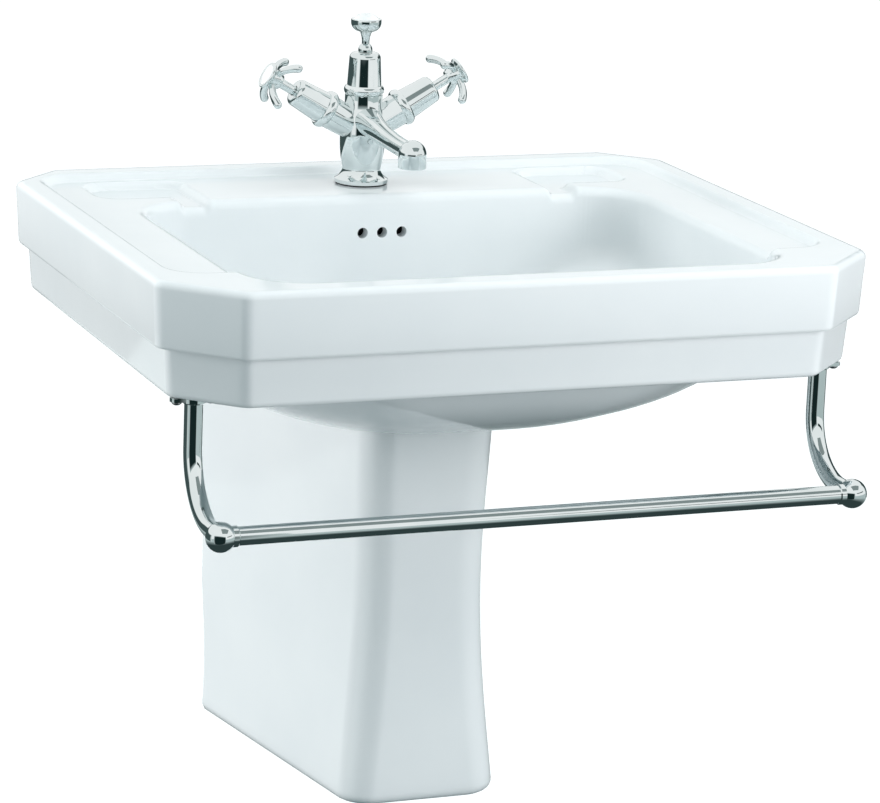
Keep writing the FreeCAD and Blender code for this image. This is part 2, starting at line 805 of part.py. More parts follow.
# Spout: a tapering arm lofted through circles, ending in a downturned nozzle that holds the aerator.
def spout_form(label, stations):
    """A loft through upright circles in front of the tap: stations are (reach, height, radius)."""
    sections = []
    for number, (reach, height, radius) in enumerate(stations):
        circle = doc.addObject("Part::Circle", f"{label}_{number}")
        bind(circle, "Radius", radius)
        put(circle, y=f"-tap_from_wall - ({reach})", z=f"{DECK} + {height}", turn=UP_TO_FRONT)
        sections.append(circle)
    loft = doc.addObject("Part::Loft", label)
    loft.Sections = sections
    loft.Solid = True
    return loft


def on_nozzle(thing):
    """Places a turned piece on the nozzle's axis, its heights counted from the deck."""
    return put(thing, y="-tap_from_wall - spout_reach", z=DECK)


spout_arm = spout_form("spout_arm", [
    ("spigot_start", "spout_root_height", "spout_root_radius"),
    ("spout_mid", "spout_mid_height", "spout_mid_radius"),
    ("spout_reach", "spout_end_height", "spout_end_radius"),
])
waterway = spout_form("waterway", [
    ("spigot_start - overlap", "spout_root_height", "waterway_radius"),
    ("spout_mid", "spout_mid_height", "waterway_radius"),
    ("spout_reach", "spout_end_height", "waterway_radius"),
])
dome_start = "nozzle_bottom + nozzle_straight"
aerator_low = "nozzle_bottom + running_gap"
aerator_top = f"{aerator_low} + aerator_height"
nozzle = on_nozzle(turned("nozzle", [
    ("0", "nozzle_bottom"),
    ("nozzle_radius", "nozzle_bottom"),
    ("nozzle_radius", dome_start, "nozzle_radius", 1),
    ("0", f"{dome_start} + nozzle_radius"),
]))
nozzle_bore = on_nozzle(turned("nozzle_hollow", [
    ("0", "nozzle_bottom - overlap"),
    ("nozzle_bore", "nozzle_bottom - overlap"),
    ("nozzle_bore", aerator_top),
    ("nozzle_throat", aerator_top),
    ("nozzle_throat", "spout_end_height"),
    ("0", "spout_end_height"),
]))
spigot = rod("spigot", "spigot_radius", "foot_radius - spigot_start", UP_TO_FRONT,
             y="-tap_from_wall - spigot_start", z=spigot_height)
spout_skin = cut("spout_skin", join("spout_solid", spout_arm, nozzle), tap_core)
finished.append(cut("spout", join("spout_blank", spout_skin, spigot), waterway, nozzle_bore))
aerator_cup = on_nozzle(turned("aerator_cup", [
    ("0", f"{aerator_top} - mesh_thickness"),
    ("aerator_bore", f"{aerator_top} - mesh_thickness"),
    ("aerator_bore", aerator_low),
    ("nozzle_bore - running_gap", aerator_low),
    ("nozzle_bore - running_gap", aerator_top),
    ("0", aerator_top),
]))
mesh_holes = []
for x, y in hexagon("mesh_pitch"):
    mesh_holes.append(rod(f"mesh_hole_{len(mesh_holes)}", "mesh_hole", "aerator_height + overlap", None, x,
                          f"-tap_from_wall - spout_reach + {y}", f"{DECK} + {aerator_low}"))
finished.append(cut("aerator", aerator_cup, *mesh_holes))


# Tap fixing: a gasket under the foot, then a rubber washer, a steel plate and the back nut below the deck.
washer_low = "-deck_plate - washer_thickness"
plate_low = f"{washer_low} - plate_thickness"
nut_low = f"{plate_low} - nut_height"
thread = "shank_radius + running_gap"
finished.append(on_tap(ring("base_gasket", thread, "foot_radius - gasket_inset", "0", "gasket_thickness")))
finished.append(on_tap(ring("deck_washer", thread, "nut_corner - gasket_inset", washer_low, "-deck_plate")))
finished.append(on_tap(ring("fixing_plate", thread, "nut_corner - gasket_inset", plate_low, washer_low)))
nut_blank = on_tap(padded("back_nut_blank", hexagon("nut_corner"), nut_low, plate_low))
nut_hole = on_tap(ring("back_nut_hole", "0", thread, f"{nut_low} - overlap", f"{plate_low} + overlap"))
finished.append(cut("back_nut", nut_blank, nut_hole))


# Valves: in each arm a quarter-turn headwork with two ceramic discs, under a collar and a shroud. The
# crosshead has four levers that sweep back towards the body, and an index disc over its screw.
disc_top = "cartridge_start + disc_thickness"
moving_low = f"{disc_top} + running_gap / 2"
moving_top = f"{moving_low} + disc_thickness"
flange_top = f"{moving_top} + spindle_flange"
loose = "chamber_radius - 3 * running_gap"
hex_top = "arm_length + hex_height"
shroud_low = "arm_length + collar_length"
shroud_top = f"{shroud_low} + shroud_length"
shroud_hole = "spindle_radius + 5 * running_gap"
head_low = "spindle_end + hub_web"
index_low = "cap_start + cap_edge / 2"
lever_end_x = "lever_start + lever_bend * sin(lever_sweep)"
lever_end_z = "hub_level - lever_bend * (1 - cos(lever_sweep))"
groove = "spindle_radius - ring_groove"
groove_low = "ring_level - ring_groove"
groove_high = "ring_level + ring_groove"
for side in SIDES:
    headwork = [
        ring(f"{side}_disc_seal", "waterway_radius", "cartridge_radius - running_gap", "seal_start",
             "cartridge_start"),
        turned(f"{side}_valve_body", [
            ("chamber_radius", "cartridge_start"),
            ("cartridge_radius", "cartridge_start"),
            ("cartridge_radius", "arm_length"),
            ("hex_radius", "arm_length"),
            ("hex_radius", hex_top),
            ("valve_neck_radius", hex_top),
            ("valve_neck_radius", "valve_end"),
            ("spindle_radius + running_gap", "valve_end"),
            ("spindle_radius + running_gap", "chamber_end"),
            ("chamber_radius", "chamber_end"),
        ]),
        ring(f"{side}_fixed_disc", "disc_port", "chamber_radius - running_gap", "cartridge_start", disc_top),
        ring(f"{side}_moving_disc", "0", loose, moving_low, moving_top),
        turned(f"{side}_spindle", [
            ("0", moving_top),
            (loose, moving_top),
            (loose, flange_top),
            ("spindle_radius", flange_top),
            ("spindle_radius", groove_low),
            (groove, groove_low),
            (groove, groove_high),
            ("spindle_radius", groove_high),
            ("spindle_radius", "spindle_end"),
            ("screw_radius", "spindle_end"),
            ("screw_radius", "spindle_end - screw_length"),
            ("0", "spindle_end - screw_length"),
        ]),
        ring(f"{side}_spindle_ring", groove, "spindle_radius + running_gap / 2", groove_low, groove_high),
        turned(f"{side}_collar", [
            ("hex_radius + running_gap", "arm_length"),
            ("collar_radius", "arm_length", "collar_bulge", 1),
            ("collar_radius", shroud_low),
            ("hex_radius + running_gap", shroud_low),
        ]),
        turned(f"{side}_shroud", [
            ("shroud_radius - shroud_wall", shroud_low),
            ("shroud_radius", shroud_low),
            ("shroud_tip_radius", f"{shroud_top} - shroud_round", "shroud_round", 1),
            ("shroud_tip_radius - shroud_round", shroud_top),
            (shroud_hole, shroud_top),
            (shroud_hole, f"{shroud_top} - shroud_wall"),
            ("shroud_tip_radius - shroud_round", f"{shroud_top} - shroud_wall"),
            ("shroud_tip_radius - shroud_wall", f"{shroud_top} - shroud_round"),
        ]),
        turned(f"{side}_handle_screw", [
            ("0", "spindle_end - screw_length"),
            ("screw_radius", "spindle_end - screw_length"),
            ("screw_radius", head_low),
            ("screw_head_radius", head_low),
            ("screw_head_radius", f"{head_low} + screw_head_height"),
            ("0", f"{head_low} + screw_head_height"),
        ]),
        turned(f"{side}_index_disc", [
            ("0", index_low),
            ("index_radius", index_low),
            ("index_radius", "cap_start + cap_edge", dome("index_radius", "index_rise"), 1),
            ("0", "cap_start + cap_edge + index_rise"),
        ]),
    ]
    finished.extend(on_arm(side, piece) for piece in headwork)
    crosshead = turned(f"{side}_crosshead", [
        ("spindle_radius", "hub_start"),
        ("hub_foot_radius", "hub_start"),
        ("hub_radius", "hub_level - lever_radius"),
        ("hub_radius", "hub_level + lever_radius"),
        ("cap_radius", "cap_start"),
        ("cap_radius", "cap_start + cap_edge"),
        ("index_radius", "cap_start + cap_edge"),
        ("index_radius", index_low),
        ("screw_head_radius + running_gap", index_low),
        ("screw_head_radius + running_gap", head_low),
        ("screw_radius", head_low),
        ("screw_radius", "spindle_end"),
        ("spindle_radius", "spindle_end"),
    ])
    bend = [("lever_start", "hub_level", "lever_bend", -1), (lever_end_x, lever_end_z)]
    path = sketch_in(crosshead, "XZ_Plane", f"{side}_lever_path", bend, closed=False)
    lever = crosshead.newObject("PartDesign::AdditivePipe", f"{side}_lever")
    lever.Profile = circle_in(crosshead, "YZ_Plane", f"{side}_lever_section", "0", "hub_level",
                              "lever_radius", "lever_start")
    lever.Spine = (path, ["Edge1"])
    four_round(crosshead, lever)
    tip = crosshead.newObject("PartDesign::AdditiveSphere", f"{side}_lever_tip")
    bind(tip, "Radius", "lever_tip_radius")
    put(tip, lever_end_x, "0", lever_end_z)
    four_round(crosshead, tip)
    finished.append(on_arm(side, crosshead, size("lever_clock")))


# Centre column: a beaded crown and a bonnet on the tap body, and the lift knob that stands on it.
crown_top = "head_height + crown_height"
bonnet_top = f"{crown_top} + bonnet_height"
bonnet_shoulder = f"{bonnet_top} - bonnet_round"
knob_low = f"{bonnet_top} + knob_gap"
cup_low = f"{knob_low} + knob_cup_level"
cup_floor = f"{cup_low} + knob_floor"
knob_top = f"{cup_low} + knob_cup_height"
insert_low = f"{knob_top} - insert_depth"
cup_bore = "knob_cup_radius - knob_lip"
finished.append(on_tap(turned("centre_crown", [
    ("rod_bore", "head_height"),
    ("crown_radius", "head_height", "crown_bulge", 1),
    ("crown_radius", crown_top),
    ("rod_bore", crown_top),
])))
finished.append(on_tap(turned("centre_bonnet", [
    ("bonnet_radius - bonnet_wall", crown_top),
    ("bonnet_radius", crown_top),
    ("bonnet_top_radius", bonnet_shoulder, "bonnet_round", 1),
    ("bonnet_top_radius - bonnet_round", bonnet_top),
    ("rod_bore", bonnet_top),
    ("rod_bore", f"{bonnet_top} - bonnet_wall"),
    ("bonnet_top_radius - bonnet_round", f"{bonnet_top} - bonnet_wall"),
    ("bonnet_top_radius - bonnet_wall", bonnet_shoulder),
])))
finished.append(on_tap(turned("lift_knob", [
    ("rod_radius", knob_low),
    ("knob_foot_radius", knob_low),
    ("knob_foot_radius", f"{knob_low} + knob_foot_height", "knob_neck_level", -1),
    ("knob_neck_radius", f"{knob_low} + knob_neck_level"),
    ("knob_foot_radius", cup_low, "knob_cup_radius", 1),
    ("knob_cup_radius", f"{knob_top} - knob_edge"),
    ("knob_cup_radius", knob_top),
    (cup_bore, knob_top),
    (cup_bore, insert_low),
    ("knob_foot_radius", cup_floor),
    ("rod_radius", cup_floor),
])))
finished.append(on_tap(turned("knob_insert", [
    ("0", cup_floor),
    ("knob_foot_radius", cup_floor),
    (cup_bore, insert_low),
    (cup_bore, knob_top, dome(cup_bore, "insert_rise"), 1),
    ("0", f"{knob_top} + insert_rise"),
])))


# Pop-up waste: a flanged tube through the bowl, sealed above and nutted below, with a side port for the
# pivot. At rest the knob is down, the pivot's tail is down and the plug stands open.
def on_waste(thing):
    """Places a turned piece on the waste's axis, its heights counted from the bowl's floor."""
    return put(thing, y="-waste_from_wall", z=FLOOR)


def on_port(thing):
    """Places a turned piece on the side port's axis, its distances counted from the waste's axis."""
    return put(thing, y="-waste_from_wall", z=PORT, turn=UP_TO_BACK)


PORT = f"{FLOOR} - port_drop"
LEVER = "(waste_from_wall - tap_from_wall + rod_radius + strap_thickness / 2 - ball_reach)"
PIVOT_TILT = f"lift_stroke / {LEVER} * 90 / pi"
PLUG = f"plug_lift + lift_stroke * ball_reach / {LEVER}"
EYE = f"{PORT} + lift_stroke / 2 * ball_reach / {LEVER}"
LINK = f"{PORT} - lift_stroke / 2"
waste_blank = on_waste(turned("waste_blank", [
    ("0", "-waste_length"),
    ("waste_radius", "-waste_length"),
    ("waste_radius", "-waste_length + tail_length"),
    ("waste_radius - relief_depth", "-waste_length + tail_length"),
    ("waste_radius - relief_depth", "-waste_length + tail_length + relief_width"),
    ("waste_radius", "-waste_length + tail_length + relief_width"),
    ("waste_radius", "-waste_flange"),
    ("waste_flange_radius", "-waste_flange"),
    ("waste_flange_radius", "0"),
    ("0", "0"),
]))
waste_bore = on_waste(turned("waste_hollow", [
    ("0", "-waste_length - overlap"),
    ("waste_bore", "-waste_length - overlap"),
    ("waste_bore", "waste_bore - waste_mouth"),
    ("waste_mouth", "0"),
    ("waste_mouth", "overlap"),
    ("0", "overlap"),
]))
port = on_port(ring("port", "0", "port_radius", "0", "port_reach"))
port_bore = on_port(turned("port_hollow", [
    ("0", "0"),
    ("ball_nut_hole", "0"),
    ("ball_nut_hole", "port_floor"),
    ("port_bore", "port_floor"),
    ("port_bore", "port_reach + overlap"),
    ("0", "port_reach + overlap"),
]))
slots = block("overflow_slots", ("-slot_width / 2", "-waste_from_wall - waste_radius - overlap", slot_floor),
              ("slot_width / 2", "-waste_from_wall + waste_radius + overlap", slot_ceiling))
finished.append(cut("waste_body", join("waste_casting", waste_blank, port), waste_bore, port_bore, slots))
finished.append(on_waste(ring("waste_gasket", "waste_hole", "waste_flange_radius - gasket_inset",
                              "-waste_seat_depth", "-waste_flange")))
waste_thread = "waste_radius + running_gap"
nut_top = "-bowl_base - waste_washer"
nut_foot = f"{nut_top} - waste_nut_height"
finished.append(on_waste(ring("waste_washer", waste_thread, "waste_washer_radius", nut_top, "-bowl_base")))
waste_nut_blank = on_waste(padded("waste_nut_blank", hexagon("waste_nut_corner"), nut_foot, nut_top))
waste_nut_hole = on_waste(ring("waste_nut_hole", "0", waste_thread, f"{nut_foot} - overlap",
                               f"{nut_top} + overlap"))
finished.append(cut("waste_nut", waste_nut_blank, waste_nut_hole))

# Pivot: a ball-ended lever between a seat ring and a cap nut. Its tip carries the plug, its tail the strap.
finished.append(on_port(ring("ball_seat", "seat_ring_bore", "port_bore - running_gap", "port_floor",
                             "port_floor + seat_ring_length")))
ball_nut_end = "port_reach + ball_nut_wall"
ball_nut_start = f"{ball_nut_end} - ball_nut_length"
finished.append(on_port(turned("ball_nut", [
    ("ball_nut_hole", "port_reach"),
    ("port_radius + running_gap", "port_reach"),
    ("port_radius + running_gap", ball_nut_start),
    ("ball_nut_radius", ball_nut_start),
    ("ball_nut_radius", ball_nut_end),
    ("ball_nut_hole", ball_nut_end),
])))
ball_half = "sqrt(ball_radius * ball_radius - rod_radius * rod_radius)"
pivot = turned("pivot_rod", [
    ("0", "-ball_reach - eye_depth"),
    ("rod_radius", "-ball_reach - eye_depth"),
    ("rod_radius", f"-{ball_half}", "ball_radius", 1),
    ("rod_radius", ball_half),
    ("rod_radius", f"{LEVER} + pivot_tail"),
    ("0", f"{LEVER} + pivot_tail"),
])
finished.append(put(pivot, y="-waste_from_wall + ball_reach", z=PORT,
                    turn=Rotation(Vector(1, 0, 0), -90 - size(PIVOT_TILT))))

# Plug: a domed head on a stem, whose eye rides on the pivot's tip, with a flat rubber ring under the head.
plug_form = on_waste(turned("plug_form", [
    ("0", f"{EYE} - ({FLOOR}) + eye_height / 2 - overlap"),
    ("plug_stem_radius", f"{EYE} - ({FLOOR}) + eye_height / 2 - overlap"),
    ("plug_stem_radius", f"{PLUG} - plug_boss"),
    ("plug_boss_radius", f"{PLUG} - plug_boss"),
    ("plug_boss_radius", PLUG),
    ("plug_radius", PLUG),
    ("plug_radius", f"{PLUG} + plug_thickness", dome("plug_radius", "plug_crown"), 1),
    ("0", f"{PLUG} + plug_thickness + plug_crown"),
]))
eye = block("plug_eye", ("-eye_width / 2", "-waste_from_wall - eye_depth / 2", f"{EYE} - eye_height / 2"),
            ("eye_width / 2", "-waste_from_wall + eye_depth / 2", f"{EYE} + eye_height / 2"))
eye_hole = rod("plug_eye_hole", "eye_hole", "eye_depth + 2 * overlap", UP_TO_FRONT,
               y="-waste_from_wall + eye_depth / 2 + overlap", z=EYE)
finished.append(cut("waste_plug", join("plug_blank", plug_form, eye), eye_hole))
finished.append(on_waste(ring("plug_ring", "plug_boss_radius", "waste_bore", f"{PLUG} - plug_ring", PLUG)))

# Lift linkage: the rod from the knob, a strap hung behind it, and the clamp and thumb screw that join them.
rod_foot = f"{LINK} + rod_clear"
rod_length = f"{DECK} + {cup_floor} - ({rod_foot})"
finished.append(rod("lift_rod", "rod_radius", rod_length, y="-tap_from_wall", z=rod_foot))
strap_front = "-tap_from_wall + rod_radius"
strap_back = f"{strap_front} + strap_thickness"
strap_blank = block("strap_blank", ("-strap_width / 2", strap_front, f"{LINK} - strap_below"),
                    ("strap_width / 2", strap_back, f"{LINK} + strap_above"))
strap_eye = rod("strap_eye", "strap_hole", "strap_thickness + 2 * overlap", UP_TO_FRONT,
                y=f"{strap_back} + overlap", z=LINK)
finished.append(cut("lift_strap", strap_blank, strap_eye))
clamp_middle = f"{LINK} + clamp_level"
clamp_low, clamp_high = f"{clamp_middle} - clamp_height / 2", f"{clamp_middle} + clamp_height / 2"
clamp_half = "strap_width / 2 + clamp_wall"
clamp_blank = block("clamp_blank", (f"-({clamp_half})", "-tap_from_wall - clamp_depth", clamp_low),
                    (clamp_half, f"{strap_back} + clamp_wall", clamp_high))
slot_start = ("-strap_width / 2", "-tap_from_wall + rod_radius / 2", f"{clamp_low} - overlap")
slot_end = ("strap_width / 2", strap_back, f"{clamp_high} + overlap")
strap_slot = block("strap_slot", slot_start, slot_end)
rod_slot = rod("rod_slot", "rod_radius", "clamp_height + 2 * overlap", y="-tap_from_wall",
               z=f"{clamp_low} - overlap")
screw_slot = rod("screw_slot", "screw_radius", "clamp_depth + overlap", UP_TO_FRONT, y="-tap_from_wall",
                 z=clamp_middle)
finished.append(cut("rod_clamp", clamp_blank, strap_slot, rod_slot, screw_slot))
thumb_screw = turned("clamp_screw", [
    ("0", "rod_radius"),
    ("screw_radius", "rod_radius"),
    ("screw_radius", "clamp_depth"),
    ("thumb_radius", "clamp_depth"),
    ("thumb_radius", "clamp_depth + thumb_length"),
    ("0", "clamp_depth + thumb_length"),
])
finished.append(put(thumb_screw, y="-tap_from_wall", z=clamp_middle, turn=UP_TO_FRONT))


# Towel rail: a tube between two balls, each on a bent post that is screwed up under a front corner.
RAIL = f"{RIM} - rail_drop"
INWARD = {"left": Rotation(Vector(0, 1, 0), 90), "right": Rotation(Vector(0, 1, 0), -90)}
tube_end = f"{RAIL_HALF} - rail_socket"
tube_skin = rod("rail_skin", "rail_radius", f"2 * ({tube_end})", INWARD["left"], f"-({tube_end})",
                "-rail_from_wall", RAIL)
tube_bore = rod("rail_bore", "rail_radius - rail_wall", f"2 * ({tube_end} + overlap)", INWARD["left"],
                f"-({tube_end} + overlap)", "-rail_from_wall", RAIL)
finished.append(cut("rail_tube", tube_skin, tube_bore))
screws = []
for hand, way in HANDS.items():
    side_x = f"{way} * {RAIL_HALF}"
    ball = doc.addObject("Part::Sphere", f"{hand}_ball")
    bind(ball, "Radius", "rail_ball")
    put(ball, side_x, "-rail_from_wall", RAIL)
    neck = rod(f"{hand}_neck", "rail_collar_radius", "rail_collar_reach", INWARD[hand], side_x,
               "-rail_from_wall", RAIL)
    tube_socket = rod(f"{hand}_tube_socket", "rail_radius", "rail_collar_reach", INWARD[hand],
                      f"{way} * ({tube_end})", "-rail_from_wall", RAIL)
    post_socket = rod(f"{hand}_post_socket", "post_radius", "rail_collar_reach", UP_TO_BACK, side_x,
                      "-rail_from_wall + rail_socket", RAIL)
    finished.append(cut(f"{hand}_rail_ball", join(f"{hand}_knuckle", ball, neck), tube_socket, post_socket))
    post = new_body(f"{hand}_rail_post")
    bend = [
        ("-post_from_wall", UNDERSIDE),
        ("-post_from_wall", f"{RAIL} + post_bend", "post_bend", -1),
        ("-post_from_wall - post_bend", RAIL),
        ("-rail_from_wall + rail_socket", RAIL),
    ]
    path = sketch_in(post, "YZ_Plane", f"{hand}_post_path", bend, closed=False)
    pipe = post.newObject("PartDesign::AdditivePipe", f"{hand}_post_pipe")
    pipe.Profile = circle_in(post, "XY_Plane", f"{hand}_post_section", "0", "-post_from_wall", "post_radius",
                             UNDERSIDE)
    pipe.Spine = (path, ["Edge1", "Edge2", "Edge3"])
    finished.append(put(post, side_x))
    foot_low = f"{UNDERSIDE} - foot_plate"
    low = (f"{side_x} - screw_spread", "-post_from_wall - foot_end", foot_low)
    high = (f"{side_x} + screw_spread", "-post_from_wall + foot_end", UNDERSIDE)
    plate = [block(f"{hand}_foot_plate", low, high)]
    boss = rod(f"{hand}_flange_boss", "flange_radius", "flange_height", None, side_x, "-post_from_wall",
               f"{UNDERSIDE} - flange_height")
    holes = [rod(f"{hand}_post_hole", "post_radius", "flange_height + 2 * overlap", None, side_x,
                 "-post_from_wall", f"{UNDERSIDE} - flange_height - overlap")]
    for place in (-1, 1):
        screw_x = f"{side_x} + {place} * screw_spread"
        holes.append(rod(f"{hand}_screw_hole_{place}", "wood_screw_radius + running_gap",
                         "foot_plate + 2 * overlap", None, screw_x, "-post_from_wall",
                         f"{foot_low} - overlap"))
        screw = turned(f"{hand}_screw_{place}", [
            ("0", "-foot_plate - pan_height"),
            ("pan_radius", "-foot_plate - pan_height"),
            ("pan_radius", "-foot_plate"),
            ("wood_screw_radius", "-foot_plate"),
            ("wood_screw_radius", "wood_screw_length"),
            ("0", "wood_screw_length"),
        ])
        screws.append(put(screw, screw_x, "-post_from_wall", UNDERSIDE))
        plate.append(rod(f"{hand}_plate_end_{place}", "foot_end", "foot_plate", None, screw_x,
                         "-post_from_wall", foot_low))
    finished.append(cut(f"{hand}_post_flange", join(f"{hand}_flange_blank", *plate, boss), *holes))
rail_screws = doc.addObject("Part::Compound", "rail_screws")
rail_screws.Label = "rail_screws"
rail_screws.Links = screws
finished.append(rail_screws)

doc.recompute()
for thing in doc.Objects:
    if {"Invalid", "Error"} & set(thing.State):
        raise RuntimeError(f"{thing.Name} did not build")
os.makedirs("parts", exist_ok=True)
for thing in finished:
    if thing.Shape.isNull() or not thing.Shape.isValid():
        raise RuntimeError(f"{thing.Label} has no valid shape")
    thing.Shape.exportStep(f"parts/{thing.Label}.step")
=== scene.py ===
"""Semi-pedestal basin with its tap and towel rail: the looks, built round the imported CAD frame, in metres."""
import math

import bmesh
import bpy
import numpy as np
from mathutils import Matrix, Vector


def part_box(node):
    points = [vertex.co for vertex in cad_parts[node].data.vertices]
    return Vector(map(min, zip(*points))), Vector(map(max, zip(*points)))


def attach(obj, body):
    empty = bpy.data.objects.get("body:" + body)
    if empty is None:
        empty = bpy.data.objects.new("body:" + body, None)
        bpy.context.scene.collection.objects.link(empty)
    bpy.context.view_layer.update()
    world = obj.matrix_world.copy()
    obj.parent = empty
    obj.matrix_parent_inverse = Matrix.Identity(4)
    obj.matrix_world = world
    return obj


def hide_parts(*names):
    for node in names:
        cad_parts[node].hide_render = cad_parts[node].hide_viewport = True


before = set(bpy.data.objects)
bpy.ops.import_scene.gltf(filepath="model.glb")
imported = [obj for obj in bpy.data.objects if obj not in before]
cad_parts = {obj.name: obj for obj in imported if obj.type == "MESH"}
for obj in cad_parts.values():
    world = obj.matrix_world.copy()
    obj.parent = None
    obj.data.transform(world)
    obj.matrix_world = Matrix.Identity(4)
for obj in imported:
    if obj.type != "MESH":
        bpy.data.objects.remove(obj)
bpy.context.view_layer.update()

# Basin: vitreous china, slip-cast in one piece and glazed white. Two stepped eight-sided bands carry a sunk
# deck with two soap trays, and the bowl hangs below. The flat back rests on the wall, held by two bolts.
low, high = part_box("basin")
rim, belly = high.z, low.z
half_width, depth = high.x, -low.y
front_chamfer, back_chamfer, corner_round = 0.056, 0.045, 0.014
upper_band, lower_band, band_step, band_draft = 0.054, 0.0405, 0.008, 0.0025
rim_round, band_round, foot_round, back_round = 0.006, 0.003, 0.005, 0.004
step_round, step_soft, seat_edge, hollow_round = 0.0015, 0.0004, 0.001, 0.006
skirt_wall, back_wall, china = 0.013, 0.015, 0.013
deck_drop, border, back_border, border_slope = 0.006, 0.024, 0.028, 0.009
recess_front, recess_round = 0.430, 0.030
tray_x, tray_y, tray_round, tray_slope = (0.162, 0.240), (-0.103, -0.045), 0.014, 0.008
notch_width, tray_drop = 0.016, 0.006
mouth_half, mouth_back, mouth_front, mouth_round, lip_round = 0.226, 0.134, 0.478, 0.050, 0.008
bowl_straight, bowl_depth, bowl_round, full_round_turn = 0.052, 0.155, 0.120, 0.6
middle_y, middle_drift, toe = -0.29, 0.07, math.radians(78)
belly_straight, belly_depth = 0.050, rim - belly
side_reach, back_reach, front_reach = 0.200, 0.058, 0.230
waste_y, waste_hole, waste_seat, seat_depth, waste_pad = -0.220, 0.023, 0.0335, 0.005, 0.040
deck_under, duct_half, duct_back, duct_round = 0.034, 0.035, -0.106, 0.004
post_x, post_y, pad_half = 0.2695, -0.447, 0.070
underside = rim - upper_band - lower_band
bowl_floor = rim - bowl_depth
columns = 560


def rounded(corners, radii, steps=20):
    """A closed outline through the corners, each turned with its own radius."""
    path = []
    for place, corner in enumerate(corners):
        corner = np.array(corner)
        before = np.array(corners[place - 1]) - corner
        after = np.array(corners[(place + 1) % len(corners)]) - corner
        before, after = before / np.linalg.norm(before), after / np.linalg.norm(after)
        half = math.acos(float(np.dot(before, after))) / 2
        run = radii[place] / math.tan(half)
        centre = corner + (before + after) / np.linalg.norm(before + after) * radii[place] / math.sin(half)
        start, end = corner + before * run - centre, corner + after * run - centre
        turn = math.atan2(start[0] * end[1] - start[1] * end[0], float(np.dot(start, end)))
        for step in np.linspace(0, turn, steps):
            spin = np.array([[math.cos(step), -math.sin(step)], [math.sin(step), math.cos(step)]])
            path.append(centre + spin @ start)
    return np.array(path)


def loop(outline, centre, angles):
    """The outline's points at the given angles round a centre inside it."""
    spokes = outline - centre
    bearing = np.unwrap(np.arctan2(spokes[:, 1], spokes[:, 0]))
    wanted = (angles - bearing[0]) % (2 * math.pi) + bearing[0]
    index = np.clip(np.searchsorted(bearing, wanted, side="right") - 1, 0, len(spokes) - 1)
    first, edge = spokes[index], np.roll(spokes, -1, axis=0)[index] - spokes[index]
    ray = np.stack([np.cos(angles), np.sin(angles)], axis=1)
    length = first[:, 0] * edge[:, 1] - first[:, 1] * edge[:, 0]
    length /= ray[:, 0] * edge[:, 1] - ray[:, 1] * edge[:, 0]
    return centre + ray * length[:, None]


def spread(count, focus):
    """Angles round a circle, closer together near each (angle, width, weight)."""
    fine = np.linspace(-math.pi, math.pi, 14400, endpoint=False)
    density = np.ones_like(fine)
    for angle, width, weight in focus:
        density += weight * np.exp(-(((fine - angle + math.pi) % (2 * math.pi) - math.pi) / width) ** 2)
    total = np.cumsum(density)
    return np.interp((np.arange(count) + 0.5) / count, total / total[-1], fine)


def skin(name, rings, closed=False, capped=True):
    """A mesh object through rings of points, which close on themselves or may be capped at both ends."""
    count, size = len(rings), len(rings[0])
    points = np.vstack(rings).tolist()
    steps = range(count if closed else count - 1)
    faces = [(i * size + j, i * size + (j + 1) % size, (i + 1) % count * size + (j + 1) % size,
              (i + 1) % count * size + j) for i in steps for j in range(size)]
    if capped and not closed:
        faces += [tuple(range(size))[::-1], tuple(range((count - 1) * size, count * size))]
    mesh = bpy.data.meshes.new(name)
    mesh.from_pydata(points, [], faces)
    work = bmesh.new()
    work.from_mesh(mesh)
    bmesh.ops.remove_doubles(work, verts=work.verts, dist=1e-6)
    bmesh.ops.recalc_face_normals(work, faces=work.faces)
    work.to_mesh(mesh)
    work.free()
    thing = bpy.data.objects.new(name, mesh)
    bpy.context.scene.collection.objects.link(thing)
    return thing


def rod(start, end, radius, sides=48):
    """A round bar between two points, used as a cutter."""
    start, end = Vector(start), Vector(end)
    turn = (end - start).to_track_quat("Z", "Y").to_matrix()
    circle = [turn @ Vector((radius * math.cos(a), radius * math.sin(a), 0))
              for a in np.linspace(0, 2 * math.pi, sides, endpoint=False)]
    return skin("bar", [np.array([start + c for c in circle]), np.array([end + c for c in circle])])


def brick(corner, opposite):
    """A box between two opposite corners, used as a cutter."""
    (x0, y0, z0), (x1, y1, z1) = corner, opposite
    plan = [(x0, y0), (x1, y0), (x1, y1), (x0, y1)]
    return skin("brick", [np.array([(x, y, z) for x, y in plan]) for z in (z0, z1)])


def combine(base, tools, operation="DIFFERENCE"):
    """Applies a boolean with each tool to the base, and throws the tools away."""
    for tool in tools:
        step = base.modifiers.new("combine", "BOOLEAN")
        step.solver, step.operation, step.object = "MANIFOLD", operation, tool
    shape = base.evaluated_get(bpy.context.evaluated_depsgraph_get())
    mesh = bpy.data.meshes.new_from_object(shape)
    base.modifiers.clear()
    base.data = mesh
    for tool in tools:
        bpy.data.objects.remove(tool)


def smooth(thing, sharp=35):
    """Shades an object smooth, apart from edges sharper than an angle in degrees."""
    thing.data.polygons.foreach_set("use_smooth", [True] * len(thing.data.polygons))
    thing.data.set_sharp_from_angle(angle=math.radians(sharp))


def ease(value):
    """A soft step from 0 to 1."""
    value = np.clip(value, 0, 1)
    return value ** 3 * (value * (6 * value - 15) + 10)


